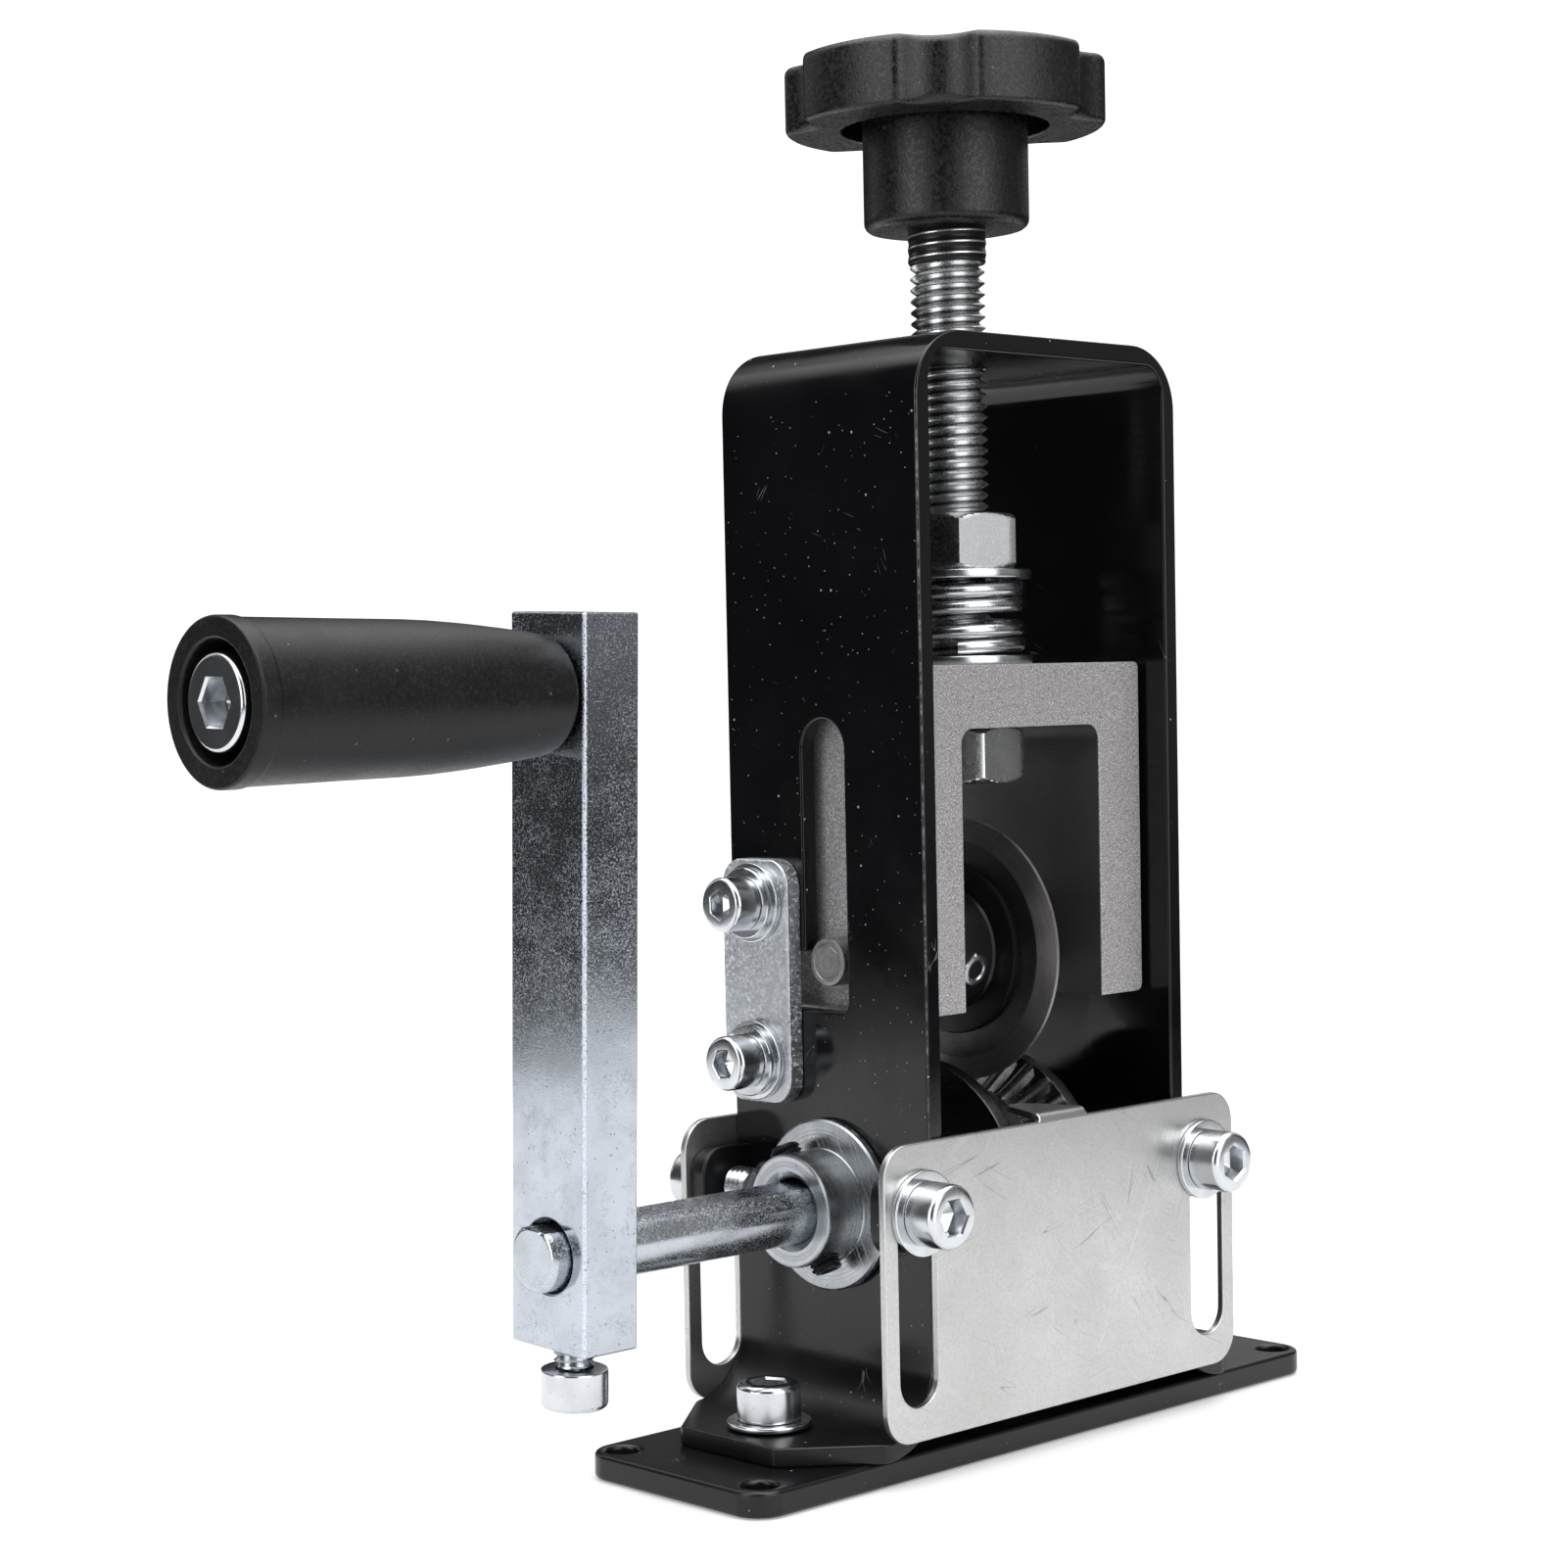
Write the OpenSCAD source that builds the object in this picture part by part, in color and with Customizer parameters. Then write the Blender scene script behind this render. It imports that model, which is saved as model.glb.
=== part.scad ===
// Hand crank wire stripper: a driven feed roller below, a pressed slitting blade above.
// X runs across the two frame walls with the crank on the left, Y runs to the back, Z is up.
// The origin is the middle of the base's hole pattern, on its underside.

/* [Base plate] */
// Length of the base plate across the frame
base_l = 130; // [126:1:160]
// Depth of the base plate from front to back
base_d = 39; // [38:1:44]
// Thickness of the base plate
base_t = 4; // [3:0.5:6]
// Distance of each mounting hole from the two nearest edges
hole_inset = 4.5; // [4:0.5:5]
// Diameter of the mounting holes
hole_d = 5.2; // [4:0.1:5.4]
// Corner radius of the base plate
base_r = 5; // [3:0.5:6]

/* [Frame] */
// Outer width of the frame over its two walls
frame_w = 60; // [58:0.5:64]
// Depth of the frame strip from front to back
frame_d = 42; // [42:0.5:43]
// Height of the frame's top above the bench
frame_h = 171.3; // [168:0.1:180]
// Thickness of the bent strip
strip_t = 3; // [2.5:0.1:3.2]
// Outer radius of the two top bends
top_bend_r = 10; // [6:0.5:12]
// Inner radius of the bends at the feet
foot_bend_r = 10; // [8:0.5:10.5]
// Reach of a foot beyond its wall's outer face
foot_l = 23; // [22:0.5:25]
// Distance from a foot's outer edge to its screw
foot_screw_inset = 9; // [8:0.5:9.5]
// Half width of a foot at its outer edge
foot_tip = 10; // [8:0.5:12]
// Height of the drive shaft's axis above the bench
drive_z = 39.2; // [39:0.1:39.6]
// Width of the upright slot that guides the blade axle
slot_w = 9; // [8.6:0.1:9.4]
// Distance from the blade's axis down to the slot's lower end
slot_drop = 8; // [7:0.5:9]
// Distance from the blade's axis up to the slot's rounded upper end
slot_climb = 37.2; // [35:0.1:42]
// Height of the channel that leads from the slot to the rear edge
channel_h = 9.4; // [8.8:0.1:9.8]

/* [Feed roller and shaft] */
// Diameter of the drive shaft
shaft_d = 10; // [9.6:0.1:10]
// Distance from the shaft's axis to its flat
shaft_flat = 4; // [3.6:0.1:4.5]
// Outer diameter of the feed roller
roller_d = 40.6; // [38:0.2:41]
// Width of the feed roller
roller_w = 20; // [18:0.5:21]
// Depth of the roller's V groove
groove_depth = 5.4; // [4.8:0.1:5.5]
// Width of the plain rim beside the groove
rim_w = 2.5; // [2:0.1:2.8]
// Diameter of the hubs' flanges
flange_d = 26.4; // [22:0.2:27]
// Thickness of the hubs' flanges
flange_t = 1.5; // [1:0.1:2]
// Diameter of the hubs outside the frame
hub_d = 17.4; // [16:0.2:18]
// Length of the hubs beyond their flanges
hub_l = 7.4; // [6:0.2:8]
// Diameter of the journals that run in the walls
journal_d = 14; // [13:0.2:15]

/* [Crank] */
// Distance from the shaft's axis to the handle's axis
crank_r = 79.4; // [70:0.1:90]
// Thickness of the crank arm along the shaft
arm_t = 10; // [9:0.5:12]
// Width of the crank arm
arm_w = 16; // [15:0.5:18]
// Lean of the crank arm from upright, towards the front
crank_lean = 2.2; // [0:0.1:4]
// Distance from the frame's wall to the inner face of the arm
arm_gap = 46.6; // [44:0.1:60]
// Length of the grip
grip_l = 54.5; // [50:0.5:70]
// Diameter of the grip at its outer end
grip_d = 22.5; // [21:0.1:26]
// Diameter of the grip at the arm
grip_root_d = 17; // [15:0.2:20]
// Diameter of the bolt that the grip turns on
bolt_d = 8; // [7.6:0.1:8]

/* [Blade] */
// Diameter of the slitting blade
blade_d = 42; // [40:0.2:42.4]
// Thickness of the blade
blade_t = 2.2; // [1.6:0.1:2.4]
// Distance from the roller's axis up to the blade's axis
blade_rise = 37.3; // [37.1:0.1:38]
// Diameter of the blade's axle
axle_d = 7.5; // [7:0.1:8]
// Diameter of the blade's hub
blade_hub_d = 19; // [17:0.5:22]

/* [Pressure screw] */
// Crest diameter of the threaded rod
rod_d = 11.84; // [11.7:0.01:11.84]
// Lead of the rod's thread
rod_pitch = 1.75; // [1.5:0.05:1.75]
// Size of the hex nuts across their flats
nut_af = 19; // [18:0.5:19]
// Height of the hex nuts
nut_h = 8.8; // [8:0.1:9]
// Outer diameter of the spring's washers
washer_d = 24.8; // [24:0.2:26]
// Thickness of the spring's washers
washer_t = 1.4; // [1:0.1:1.8]
// Height of the spring between its washers
spring_h = 12.1; // [11.8:0.1:13]
// Outer diameter of the spring
spring_d = 22.9; // [21:0.1:23]
// Diameter of the spring's wire
wire_d = 2; // [1.8:0.05:2]

/* [Yoke] */
// Clearance between the yoke and each wall
yoke_gap = 1; // [0.8:0.1:1.5]
// Depth of the yoke
yoke_d = 32.4; // [30:0.2:34]
// Thickness of the yoke's legs
leg_t = 10; // [9.5:0.1:10.5]
// Height of the yoke's top above the blade's axis
yoke_rise = 45.1; // [44.6:0.1:48]
// Thickness of the yoke above the window
yoke_top_t = 9.8; // [9:0.1:10]
// Distance from the blade's axis down to the ends of the legs
leg_drop = 8; // [7.5:0.1:8.2]

/* [Knob] */
// Diameter over the knob's lobes
knob_d = 50.2; // [46:0.2:56]
// Number of lobes
lobes = 5; // [5:1:7]
// Height of the lobed part
star_h = 10.6; // [9:0.1:12]
// Diameter of the knob's stem
stem_d = 26; // [24:0.5:28]
// Height of the stem below the lobes
stem_h = 15.7; // [14:0.1:18]
// Gap between the frame's top and the knob's boss
knob_gap = 13.4; // [12:0.1:14.5]

/* [Guide plates] */
// Distance from a slot's middle to the plate's side
guide_margin = 6.9; // [6.5:0.1:8]
// Height of a guide plate's lower edge above the bench
guide_z = 6.5; // [6.5:0.1:7]
// Height of a guide plate without its tongue
guide_h = 44.7; // [44:0.1:45.2]
// Thickness of a guide plate
guide_t = 1.2; // [1:0.1:1.5]
// Distance from a wall's outer face to the middles of the guide screws
guide_screw_off = 3.1; // [3.1:0.1:3.6]
// Distance from a wall's outer face to the middles of the upright slots
guide_slot_off = 4.1; // [3.8:0.1:4.2]
// Width of the upright slots
guide_slot_w = 8.2; // [8.2:0.1:8.6]
// Height of a slot's lower end above the plate's lower edge
guide_slot_low = 5.2; // [5:0.1:6]
// Length of the slots from end to end
guide_slot_l = 34.6; // [34:0.1:35]
// Width of the tongue where it leaves the plate
tongue_w = 10.9; // [9:0.1:11]
// Reach of the tongue behind the plate's front face
tongue_l = 10.6; // [9.5:0.1:11]
// Height of the tongue's top above the plate's upper edge
tongue_rise = 1.3; // [1.2:0.1:2]
// Height of the guide screws above the bench
guide_screw_z = 40.7; // [40:0.1:41]

/* [Fasteners] */
// Shank diameter of the foot, guide and clamp screws
screw_d = 6; // [5.6:0.1:6]
// Head diameter of the foot, guide and clamp screws
screw_head_d = 9.8; // [9.2:0.1:10]
// Head height of the foot, guide and clamp screws
screw_head_h = 5.7; // [5:0.1:6.2]
// Outer diameter of their washers
screw_washer_d = 12.9; // [12:0.1:13]
// Thickness of the guide screws' washers
screw_washer_t = 1; // [0.8:0.1:1.6]
// Thickness of the foot screws' washers
foot_washer_t = 0.9; // [0.8:0.1:1.6]
// Shank diameter of the link and grub screws
small_screw_d = 5; // [4.6:0.1:5]
// Head diameter of the link screws
small_head_d = 8.5; // [8:0.1:9]
// Head height of the link screws
small_head_h = 5; // [4.5:0.1:5.5]
// Outer diameter of the link washers
link_washer_d = 12.4; // [11:0.1:12.8]

/* [Link plates] */
// Width of a link plate from front to back
link_w = 14.5; // [13.5:0.1:14.8]
// Height of a link plate
link_h = 38; // [37:0.5:42]
// Thickness of a link plate
link_t = 3; // [2.5:0.1:3.5]
// Distance between a link plate's two screws
link_pitch = 24.6; // [24:0.2:26]

/* [Hidden] */
$fn = 64;

// Clearances between pieces that move past or turn in one another
run_gap = 0.06;
fit_gap = 0.05;
face_gap = 0.1;
rod_gap = 0.4;

wall_x = frame_w / 2;
edge_y = frame_d / 2;
foot_top = base_t + strip_t;
foot_reach = wall_x + foot_l;
foot_screw_x = foot_reach - foot_screw_inset;
// The foot washers' inner rims ride up on the start of the bends
washer_run_up = max(0, wall_x + foot_bend_r - foot_screw_x + screw_washer_d / 2);
washer_lift = foot_bend_r - sqrt(pow(foot_bend_r, 2) - pow(washer_run_up, 2)) + 0.02;
foot_washer_z = foot_top + washer_lift;
guide_screw_x = wall_x + guide_screw_off;
guide_slot_x = wall_x + guide_slot_off;
guide_w = 2 * (guide_slot_x + guide_margin);
screw_hole_r = screw_d / 2 + fit_gap;
small_hole_r = small_screw_d / 2 + fit_gap;

blade_z = drive_z + blade_rise;
slot_z = blade_z - slot_drop;
slot_top_z = blade_z + slot_climb;
link_z = slot_z + channel_h / 2;
yoke_w = frame_w - 2 * strip_t - 2 * yoke_gap;
window_w = yoke_w - 2 * leg_t;
yoke_low = blade_z - leg_drop;
yoke_top = blade_z + yoke_rise;
window_top = yoke_top - yoke_top_t;
lower_washer_z = yoke_top;
spring_z = lower_washer_z + washer_t;
upper_washer_z = spring_z + spring_h;
upper_nut_z = upper_washer_z + washer_t;
lower_nut_z = window_top - nut_h;
rod_low = lower_nut_z + 0.1;

boss_h = 5.3;
boss_z = frame_h + knob_gap;
stem_z = boss_z + boss_h;
star_z = stem_z + stem_h;
knob_top = star_z + star_h;

shaft_r = shaft_d / 2;
hub_out = wall_x + face_gap + flange_t + hub_l;
arm_in = wall_x + arm_gap;
arm_out = arm_in + arm_t;
shaft_end = arm_out + 2.9;
arm_low = drive_z - 13.5;
arm_top = drive_z + crank_r + 11.5;
grip_in = arm_out + 0.4;
grip_out = grip_in + grip_l;
bolt_head_d = 13;
bolt_head_h = 8;
clamp_head_z = arm_low - 3.4;

tab_h = 12.5;
tab_reach = guide_slot_x + 5.9;
link_y = 5.3 + link_w / 2;
link_washer_t = 1.2;

// Straight ring or sleeve standing on the ground plane
module ring(outer_r, inner_r, h) {
    difference() {
        cylinder(r = outer_r, h = h);
        translate([0, 0, -1]) cylinder(r = inner_r, h = h + 2);
    }
}

// Rectangle with rounded corners, centred
module rounded_rect(w, d, r) {
    square([w - 2 * r, d], center = true);
    square([w, d - 2 * r], center = true);
    for (x = [-1, 1], y = [-1, 1]) translate([x * (w / 2 - r), y * (d / 2 - r)]) circle(r = r);
}

// Upright slot with round ends, its lower end at the origin
module long_slot(w, l) {
    translate([-w / 2, w / 2]) square([w, l - w]);
    for (y = [w / 2, l - w / 2]) translate([0, y]) circle(d = w);
}

// Turns what stands along Z so that it lies along X, towards +X
module along_x() {
    rotate([0, 90, 0]) children();
}

// Turns a drawing in X and Y so that it stands in X and Z, as thick as given, towards -Y
module upright(t) {
    rotate([90, 0, 0]) linear_extrude(t) children();
}

// Socket cap screw, head above the ground plane and shank below it
module cap_screw(d, head_d, head_h, l, hex) {
    difference() {
        union() {
            cylinder(d = head_d, h = head_h);
            translate([0, 0, -l]) cylinder(d = d, h = l + 1);
        }
        translate([0, 0, head_h / 2]) cylinder(d = hex * 2 / sqrt(3), h = head_h, $fn = 6);
    }
}

// Grub screw with a hex socket in its upper end
module grub_screw(d, l, hex) {
    difference() {
        cylinder(d = d, h = l);
        translate([0, 0, l - 2.4]) cylinder(d = hex * 2 / sqrt(3), h = 3, $fn = 6);
    }
}

// Hex nut with its corners turned off at both ends
module hex_nut(af, h, bore_r) {
    corner_r = af / sqrt(3);
    turned = corner_r - af / 2;
    difference() {
        intersection() {
            cylinder(r = corner_r, h = h, $fn = 6);
            rotate_extrude() polygon([
                [0, 0], [af / 2, 0], [corner_r, turned * 0.6],
                [corner_r, h - turned * 0.6], [af / 2, h], [0, h]
            ]);
        }
        translate([0, 0, -1]) cylinder(r = bore_r, h = h + 2);
    }
}

module base_plate() {
    color("#26282b") difference() {
        linear_extrude(base_t) rounded_rect(base_l, base_d, base_r);
        for (x = [-1, 1], y = [-1, 1])
            translate([x * (base_l / 2 - hole_inset), y * (base_d / 2 - hole_inset), -1])
                cylinder(d = hole_d, h = base_t + 2);
        for (x = [-1, 1]) translate([x * foot_screw_x, 0, -1])
            cylinder(r = screw_hole_r, h = base_t + 2);
    }
}

// One half of the bent strip as a line drawing in X and Z, right of the middle
module strip_half() {
    wall_low = foot_top + foot_bend_r;
    bend_x = wall_x + foot_bend_r;
    difference() {
        union() {
            translate([0, wall_low]) square([wall_x, frame_h - wall_low - top_bend_r]);
            translate([0, wall_low]) square([wall_x - top_bend_r, frame_h - wall_low]);
            translate([wall_x - top_bend_r, frame_h - top_bend_r]) circle(r = top_bend_r);
        }
        translate([-1, wall_low - 1])
            square([wall_x - strip_t + 1, frame_h - wall_low - top_bend_r + 1]);
        translate([-1, wall_low]) square([wall_x - top_bend_r + 1, frame_h - wall_low - strip_t]);
        translate([wall_x - top_bend_r, frame_h - top_bend_r]) circle(r = top_bend_r - strip_t);
    }
    difference() {
        translate([wall_x - strip_t, base_t]) square([foot_bend_r + strip_t, wall_low - base_t]);
        translate([bend_x, wall_low]) circle(r = foot_bend_r);
        difference() {
            translate([wall_x - strip_t - 1, base_t - 1])
                square([foot_bend_r + strip_t + 1, wall_low - base_t + 1]);
            translate([bend_x, wall_low]) circle(r = foot_bend_r + strip_t);
        }
    }
    translate([bend_x, base_t]) square([foot_reach - bend_x, strip_t]);
}

// Slot with its channel to the rear edge, drawn in Y and Z
module axle_slot() {
    translate([0, slot_z]) {
        translate([-slot_w / 2, 0]) square([slot_w, slot_w]);
        translate([0, 0]) long_slot(slot_w, slot_top_z - slot_z);
        translate([0, 0]) square([edge_y + 1, channel_h]);
    }
}

module frame_channel() {
    color("#2c2f33") difference() {
        union() {
            translate([0, edge_y, 0]) upright(frame_d) {
                strip_half();
                mirror([1, 0]) strip_half();
            }
            for (x = [-1, 1], y = [-1, 1]) scale([x, y, 1])
                translate([wall_x - strip_t, edge_y, guide_screw_z - tab_h / 2]) upright(strip_t) {
                    square([tab_reach - wall_x, tab_h]);
                    translate([0, 4]) square([tab_reach - wall_x + strip_t, tab_h - 8]);
                    for (z = [4, tab_h - 4])
                        translate([tab_reach - wall_x + strip_t - 4, z]) circle(r = 4);
                }
        }
        // Feet taper to their tips
        for (x = [-1, 1], y = [-1, 1]) scale([x, y, 1]) translate([0, 0, base_t - 1])
            linear_extrude(strip_t + 2) polygon([
                [wall_x + foot_bend_r, edge_y + 0.01], [foot_reach, foot_tip],
                [foot_reach + 1, foot_tip], [foot_reach + 1, edge_y + 1],
                [wall_x + foot_bend_r, edge_y + 1]
            ]);
        for (x = [-1, 1]) {
            translate([x * foot_screw_x, 0, base_t - 1]) cylinder(r = screw_hole_r, h = strip_t + 2);
            translate([x * wall_x, 0, drive_z]) along_x()
                cylinder(r = journal_d / 2 + run_gap, h = 12, center = true);
            for (z = [-1, 1]) translate([x * wall_x, link_y, link_z + z * link_pitch / 2]) along_x()
                cylinder(r = small_hole_r, h = 12, center = true);
            for (y = [-1, 1]) translate([x * guide_screw_x, y * edge_y, guide_screw_z])
                rotate([90, 0, 0]) cylinder(r = screw_hole_r, h = 12, center = true);
            translate([x * (wall_x - strip_t / 2) - strip_t, 0, 0]) rotate([90, 0, 90])
                linear_extrude(2 * strip_t) axle_slot();
        }
        translate([0, 0, frame_h - 6]) cylinder(r = rod_d / 2 + run_gap, h = 12);
    }
}

module foot_screws() {
    seat_z = foot_washer_z + foot_washer_t;
    color("#c9cdd2") for (x = [-1, 1]) translate([x * foot_screw_x, 0, seat_z])
        cap_screw(screw_d, screw_head_d, screw_head_h, seat_z - 0.6, 5);
}

module foot_washers() {
    color("#b9bdc2") for (x = [-1, 1]) translate([x * foot_screw_x, 0, foot_washer_z])
        ring(screw_washer_d / 2, screw_hole_r + 0.15, foot_washer_t);
}

// Link plate lying flat against a wall, drawn on the left
module link_plate() {
    difference() {
        translate([-wall_x - link_t, link_y, link_z]) rotate([90, 0, 90])
            linear_extrude(link_t) rounded_rect(link_w, link_h, 4);
        for (z = [-1, 1]) translate([-wall_x, link_y, link_z + z * link_pitch / 2]) along_x()
            cylinder(r = small_hole_r, h = 12, center = true);
    }
}

module left_link_plate() {
    color("#d3d6da") link_plate();
}

module right_link_plate() {
    color("#d3d6da") mirror([1, 0, 0]) link_plate();
}

// Places children at the four link screws, facing out, at a distance off the link plates
module at_link_screws(off) {
    for (x = [-1, 1], z = [-1, 1])
        translate([x * (wall_x + link_t + off), link_y, link_z + z * link_pitch / 2])
            rotate([0, x * 90, 0]) children();
}

module link_screws() {
    color("#c9cdd2") at_link_screws(2 * link_washer_t)
        cap_screw(small_screw_d, small_head_d, small_head_h,
            2 * link_washer_t + link_t + strip_t - 0.3, 4);
}

module link_washers() {
    color("#b9bdc2") at_link_screws(0)
        ring(link_washer_d / 2, small_hole_r + 0.15, link_washer_t);
}

module link_spring_washers() {
    color("#a9adb2") at_link_screws(link_washer_t)
        ring(link_washer_d / 2 - 0.7, small_hole_r + 0.15, link_washer_t);
}

// Places children at the four guide screws, facing out, at a distance off the guide plates
module at_guide_screws(off) {
    for (x = [-1, 1], y = [-1, 1])
        translate([x * guide_screw_x, y * (edge_y + guide_t + off), guide_screw_z])
            rotate([-y * 90, 0, 0]) children();
}

module guide_screws() {
    color("#c9cdd2") at_guide_screws(screw_washer_t)
        cap_screw(screw_d, screw_head_d, screw_head_h, guide_t + screw_washer_t + strip_t + 4, 5);
}

module guide_washers() {
    color("#b9bdc2") at_guide_screws(0)
        ring(screw_washer_d / 2, screw_hole_r + 0.15, screw_washer_t);
}

// Guide plate in front of the frame, with its tongue bent back into the roller's groove
module guide_plate() {
    front_y = -edge_y - guide_t;
    bend_r = guide_t + 0.3;
    bend_y = front_y + bend_r;
    top_z = guide_z + guide_h;
    bend_z = top_z + tongue_rise - bend_r;
    // The tongue stands a little left of the plate's middle
    tongue_x = -0.8;
    difference() {
        translate([0, -edge_y, guide_z + guide_h / 2]) upright(guide_t)
            rounded_rect(guide_w, guide_h, 5);
        for (x = [-1, 1]) translate([x * guide_slot_x, -edge_y + 1, guide_z + guide_slot_low])
            upright(guide_t + 2) long_slot(guide_slot_w, guide_slot_l);
    }
    translate([tongue_x, 0, 0]) intersection() {
        translate([-tongue_w, 0, 0]) rotate([90, 0, 90]) linear_extrude(2 * tongue_w) {
            difference() {
                translate([bend_y, bend_z]) circle(r = bend_r);
                translate([bend_y, bend_z]) circle(r = bend_r - guide_t);
                translate([bend_y, bend_z - bend_r - 1]) square([bend_r + 1, 2 * bend_r + 2]);
                translate([front_y - 1, bend_z - bend_r - 1]) square([bend_r + 2, bend_r + 1]);
            }
            translate([front_y, top_z - 1]) square([guide_t, bend_z - top_z + 1]);
            translate([bend_y, bend_z + bend_r - guide_t]) square([tongue_l - bend_r, guide_t]);
        }
        translate([0, 0, top_z - 2]) linear_extrude(tongue_rise + 3) polygon([
            [-tongue_w / 2, front_y - 1], [tongue_w / 2, front_y - 1],
            [tongue_w / 2, bend_y], [1.5, front_y + tongue_l],
            [-1.5, front_y + tongue_l], [-tongue_w / 2, bend_y]
        ]);
    }
}

module front_guide_plate() {
    color("#c4c2bd") guide_plate();
}

module rear_guide_plate() {
    color("#c4c2bd") mirror([0, 1, 0]) guide_plate();
}

// Leans the crank's pieces about the shaft's axis
module leaned() {
    translate([0, 0, drive_z]) rotate([crank_lean, 0, 0]) translate([0, 0, -drive_z]) children();
}

module drive_shaft() {
    chamfer = 0.8;
    l = shaft_end + hub_out;
    color("#c3c8cd") leaned() translate([-shaft_end, 0, drive_z]) difference() {
        along_x() rotate_extrude() polygon([
            [0, 0], [shaft_r - chamfer, 0], [shaft_r, chamfer],
            [shaft_r, l - chamfer], [shaft_r - chamfer, l], [0, l]
        ]);
        translate([-1, -shaft_r - 1, shaft_flat]) cube([l + 2, shaft_d + 2, shaft_r]);
    }
}

// Flanged hub with its journal, standing on the wall's outer face along +Z
module flanged_hub() {
    flange_low = face_gap;
    flange_top = flange_low + flange_t;
    mouth = 0.7;
    bore_r = shaft_r + fit_gap;
    difference() {
        rotate_extrude() polygon([
            [bore_r, -strip_t - 1.5], [journal_d / 2, -strip_t - 1.5], [journal_d / 2, flange_low],
            [flange_d / 2, flange_low], [flange_d / 2, flange_top], [hub_d / 2, flange_top],
            [hub_d / 2, flange_top + hub_l], [bore_r + mouth, flange_top + hub_l],
            [bore_r, flange_top + hub_l - mouth]
        ]);
        for (side = [0, 180]) rotate([0, 0, side]) translate([0, 0, flange_top + hub_l / 2])
            rotate([0, 90, 0]) cylinder(r = small_hole_r, h = hub_d);
    }
}

// Turn of the hubs' grub screws away from upright
grub_turn = 27;

module left_hub() {
    color("#b9bec4") translate([-wall_x, 0, drive_z]) rotate([-grub_turn, 0, 0])
        rotate([0, -90, 0]) flanged_hub();
}

module right_hub() {
    color("#b9bec4") translate([wall_x, 0, drive_z]) rotate([-grub_turn, 0, 0])
        rotate([0, 90, 0]) flanged_hub();
}

module hub_grub_screws() {
    grub_x = wall_x + face_gap + flange_t + hub_l / 2;
    inner = shaft_r + 0.1;
    color("#2a2a2c") for (x = [-1, 1], side = [0, 180])
        translate([x * grub_x, 0, drive_z]) rotate([side - grub_turn, 0, 0])
            translate([0, 0, inner]) grub_screw(small_screw_d, hub_d / 2 + 1.5 - inner, 2.5);
}

module feed_roller() {
    r = roller_d / 2;
    half = roller_w / 2;
    top = half - rim_w;
    low = top - groove_depth;
    color("#6d6f73") translate([0, 0, drive_z]) along_x() rotate_extrude($fn = 96) polygon([
        [shaft_r + fit_gap, -half], [r - 0.4, -half], [r, 0.4 - half], [r, -top],
        [r - groove_depth, -low], [r - groove_depth, low],
        [r, top], [r, half - 0.4], [r - 0.4, half], [shaft_r + fit_gap, half]
    ]);
}

module shaft_spacers() {
    inner_x = roller_w / 2 + fit_gap;
    l = wall_x - strip_t - 1.5 - 2 * fit_gap - inner_x;
    color("#8b8e92") for (x = [-1, 1]) translate([x * inner_x, 0, drive_z]) rotate([0, x * 90, 0])
        ring(shaft_r + 2.4, shaft_r + fit_gap, l);
}

module crank_arm() {
    color("#cfd3d7") leaned() difference() {
        translate([-arm_out, -arm_w / 2, arm_low]) cube([arm_t, arm_w, arm_top - arm_low]);
        translate([-arm_out - 1, 0, drive_z]) along_x() cylinder(d = shaft_d + 0.8, h = arm_t + 2);
        translate([-arm_out - 1, 0, drive_z + crank_r]) along_x()
            cylinder(r = bolt_d / 2 + fit_gap, h = arm_t + 2);
        translate([-arm_out + arm_t / 2, 0, arm_low - 1])
            cylinder(r = screw_hole_r, h = drive_z - arm_low);
    }
}

module arm_clamp_screw() {
    l = drive_z - shaft_r - 0.1 - clamp_head_z;
    color("#c9cdd2") leaned() translate([-arm_out + arm_t / 2, 0, clamp_head_z]) rotate([180, 0, 0])
        cap_screw(screw_d, screw_head_d, screw_head_h, l, 5);
}

module handle_bolt() {
    l = grip_out - bolt_head_h - arm_in;
    color("#c9cdd2") leaned() translate([-grip_out + bolt_head_h, 0, drive_z + crank_r])
        rotate([0, -90, 0]) cap_screw(bolt_d, bolt_head_d, bolt_head_h, l, 6);
}

module handle_grip() {
    l = grip_l;
    recess_r = 8.1;
    recess = bolt_head_h + 0.4;
    bore_r = bolt_d / 2 + 0.08;
    end_r = grip_d / 2;
    root_r = grip_root_d / 2;
    body_r = end_r - 0.35;
    swell = body_r - root_r;
    color("#2b2b2d") leaned() translate([-grip_in, 0, drive_z + crank_r]) rotate([0, -90, 0])
        rotate_extrude() polygon([
            [bore_r, 0], [root_r - 0.9, 0], [root_r, 1.2], [root_r + swell * 0.38, 9],
            [root_r + swell * 0.64, 16], [root_r + swell * 0.86, 25], [body_r, 46], [body_r, l - 3.2],
            [end_r, l - 2.9], [end_r, l - 0.4], [end_r - 0.4, l], [recess_r, l],
            [recess_r, l - recess], [bore_r, l - recess]
        ]);
}

// Plan of the lobed part
module star_plan() {
    scallop_r = 8 * knob_d / 50.2 * 5 / lobes;
    difference() {
        circle(d = knob_d, $fn = 96);
        for (i = [0 : lobes - 1]) rotate([0, 0, (i + 0.5) * 360 / lobes])
            translate([knob_d / 2 - 2.9 + scallop_r, 0]) circle(r = scallop_r);
    }
}

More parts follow.
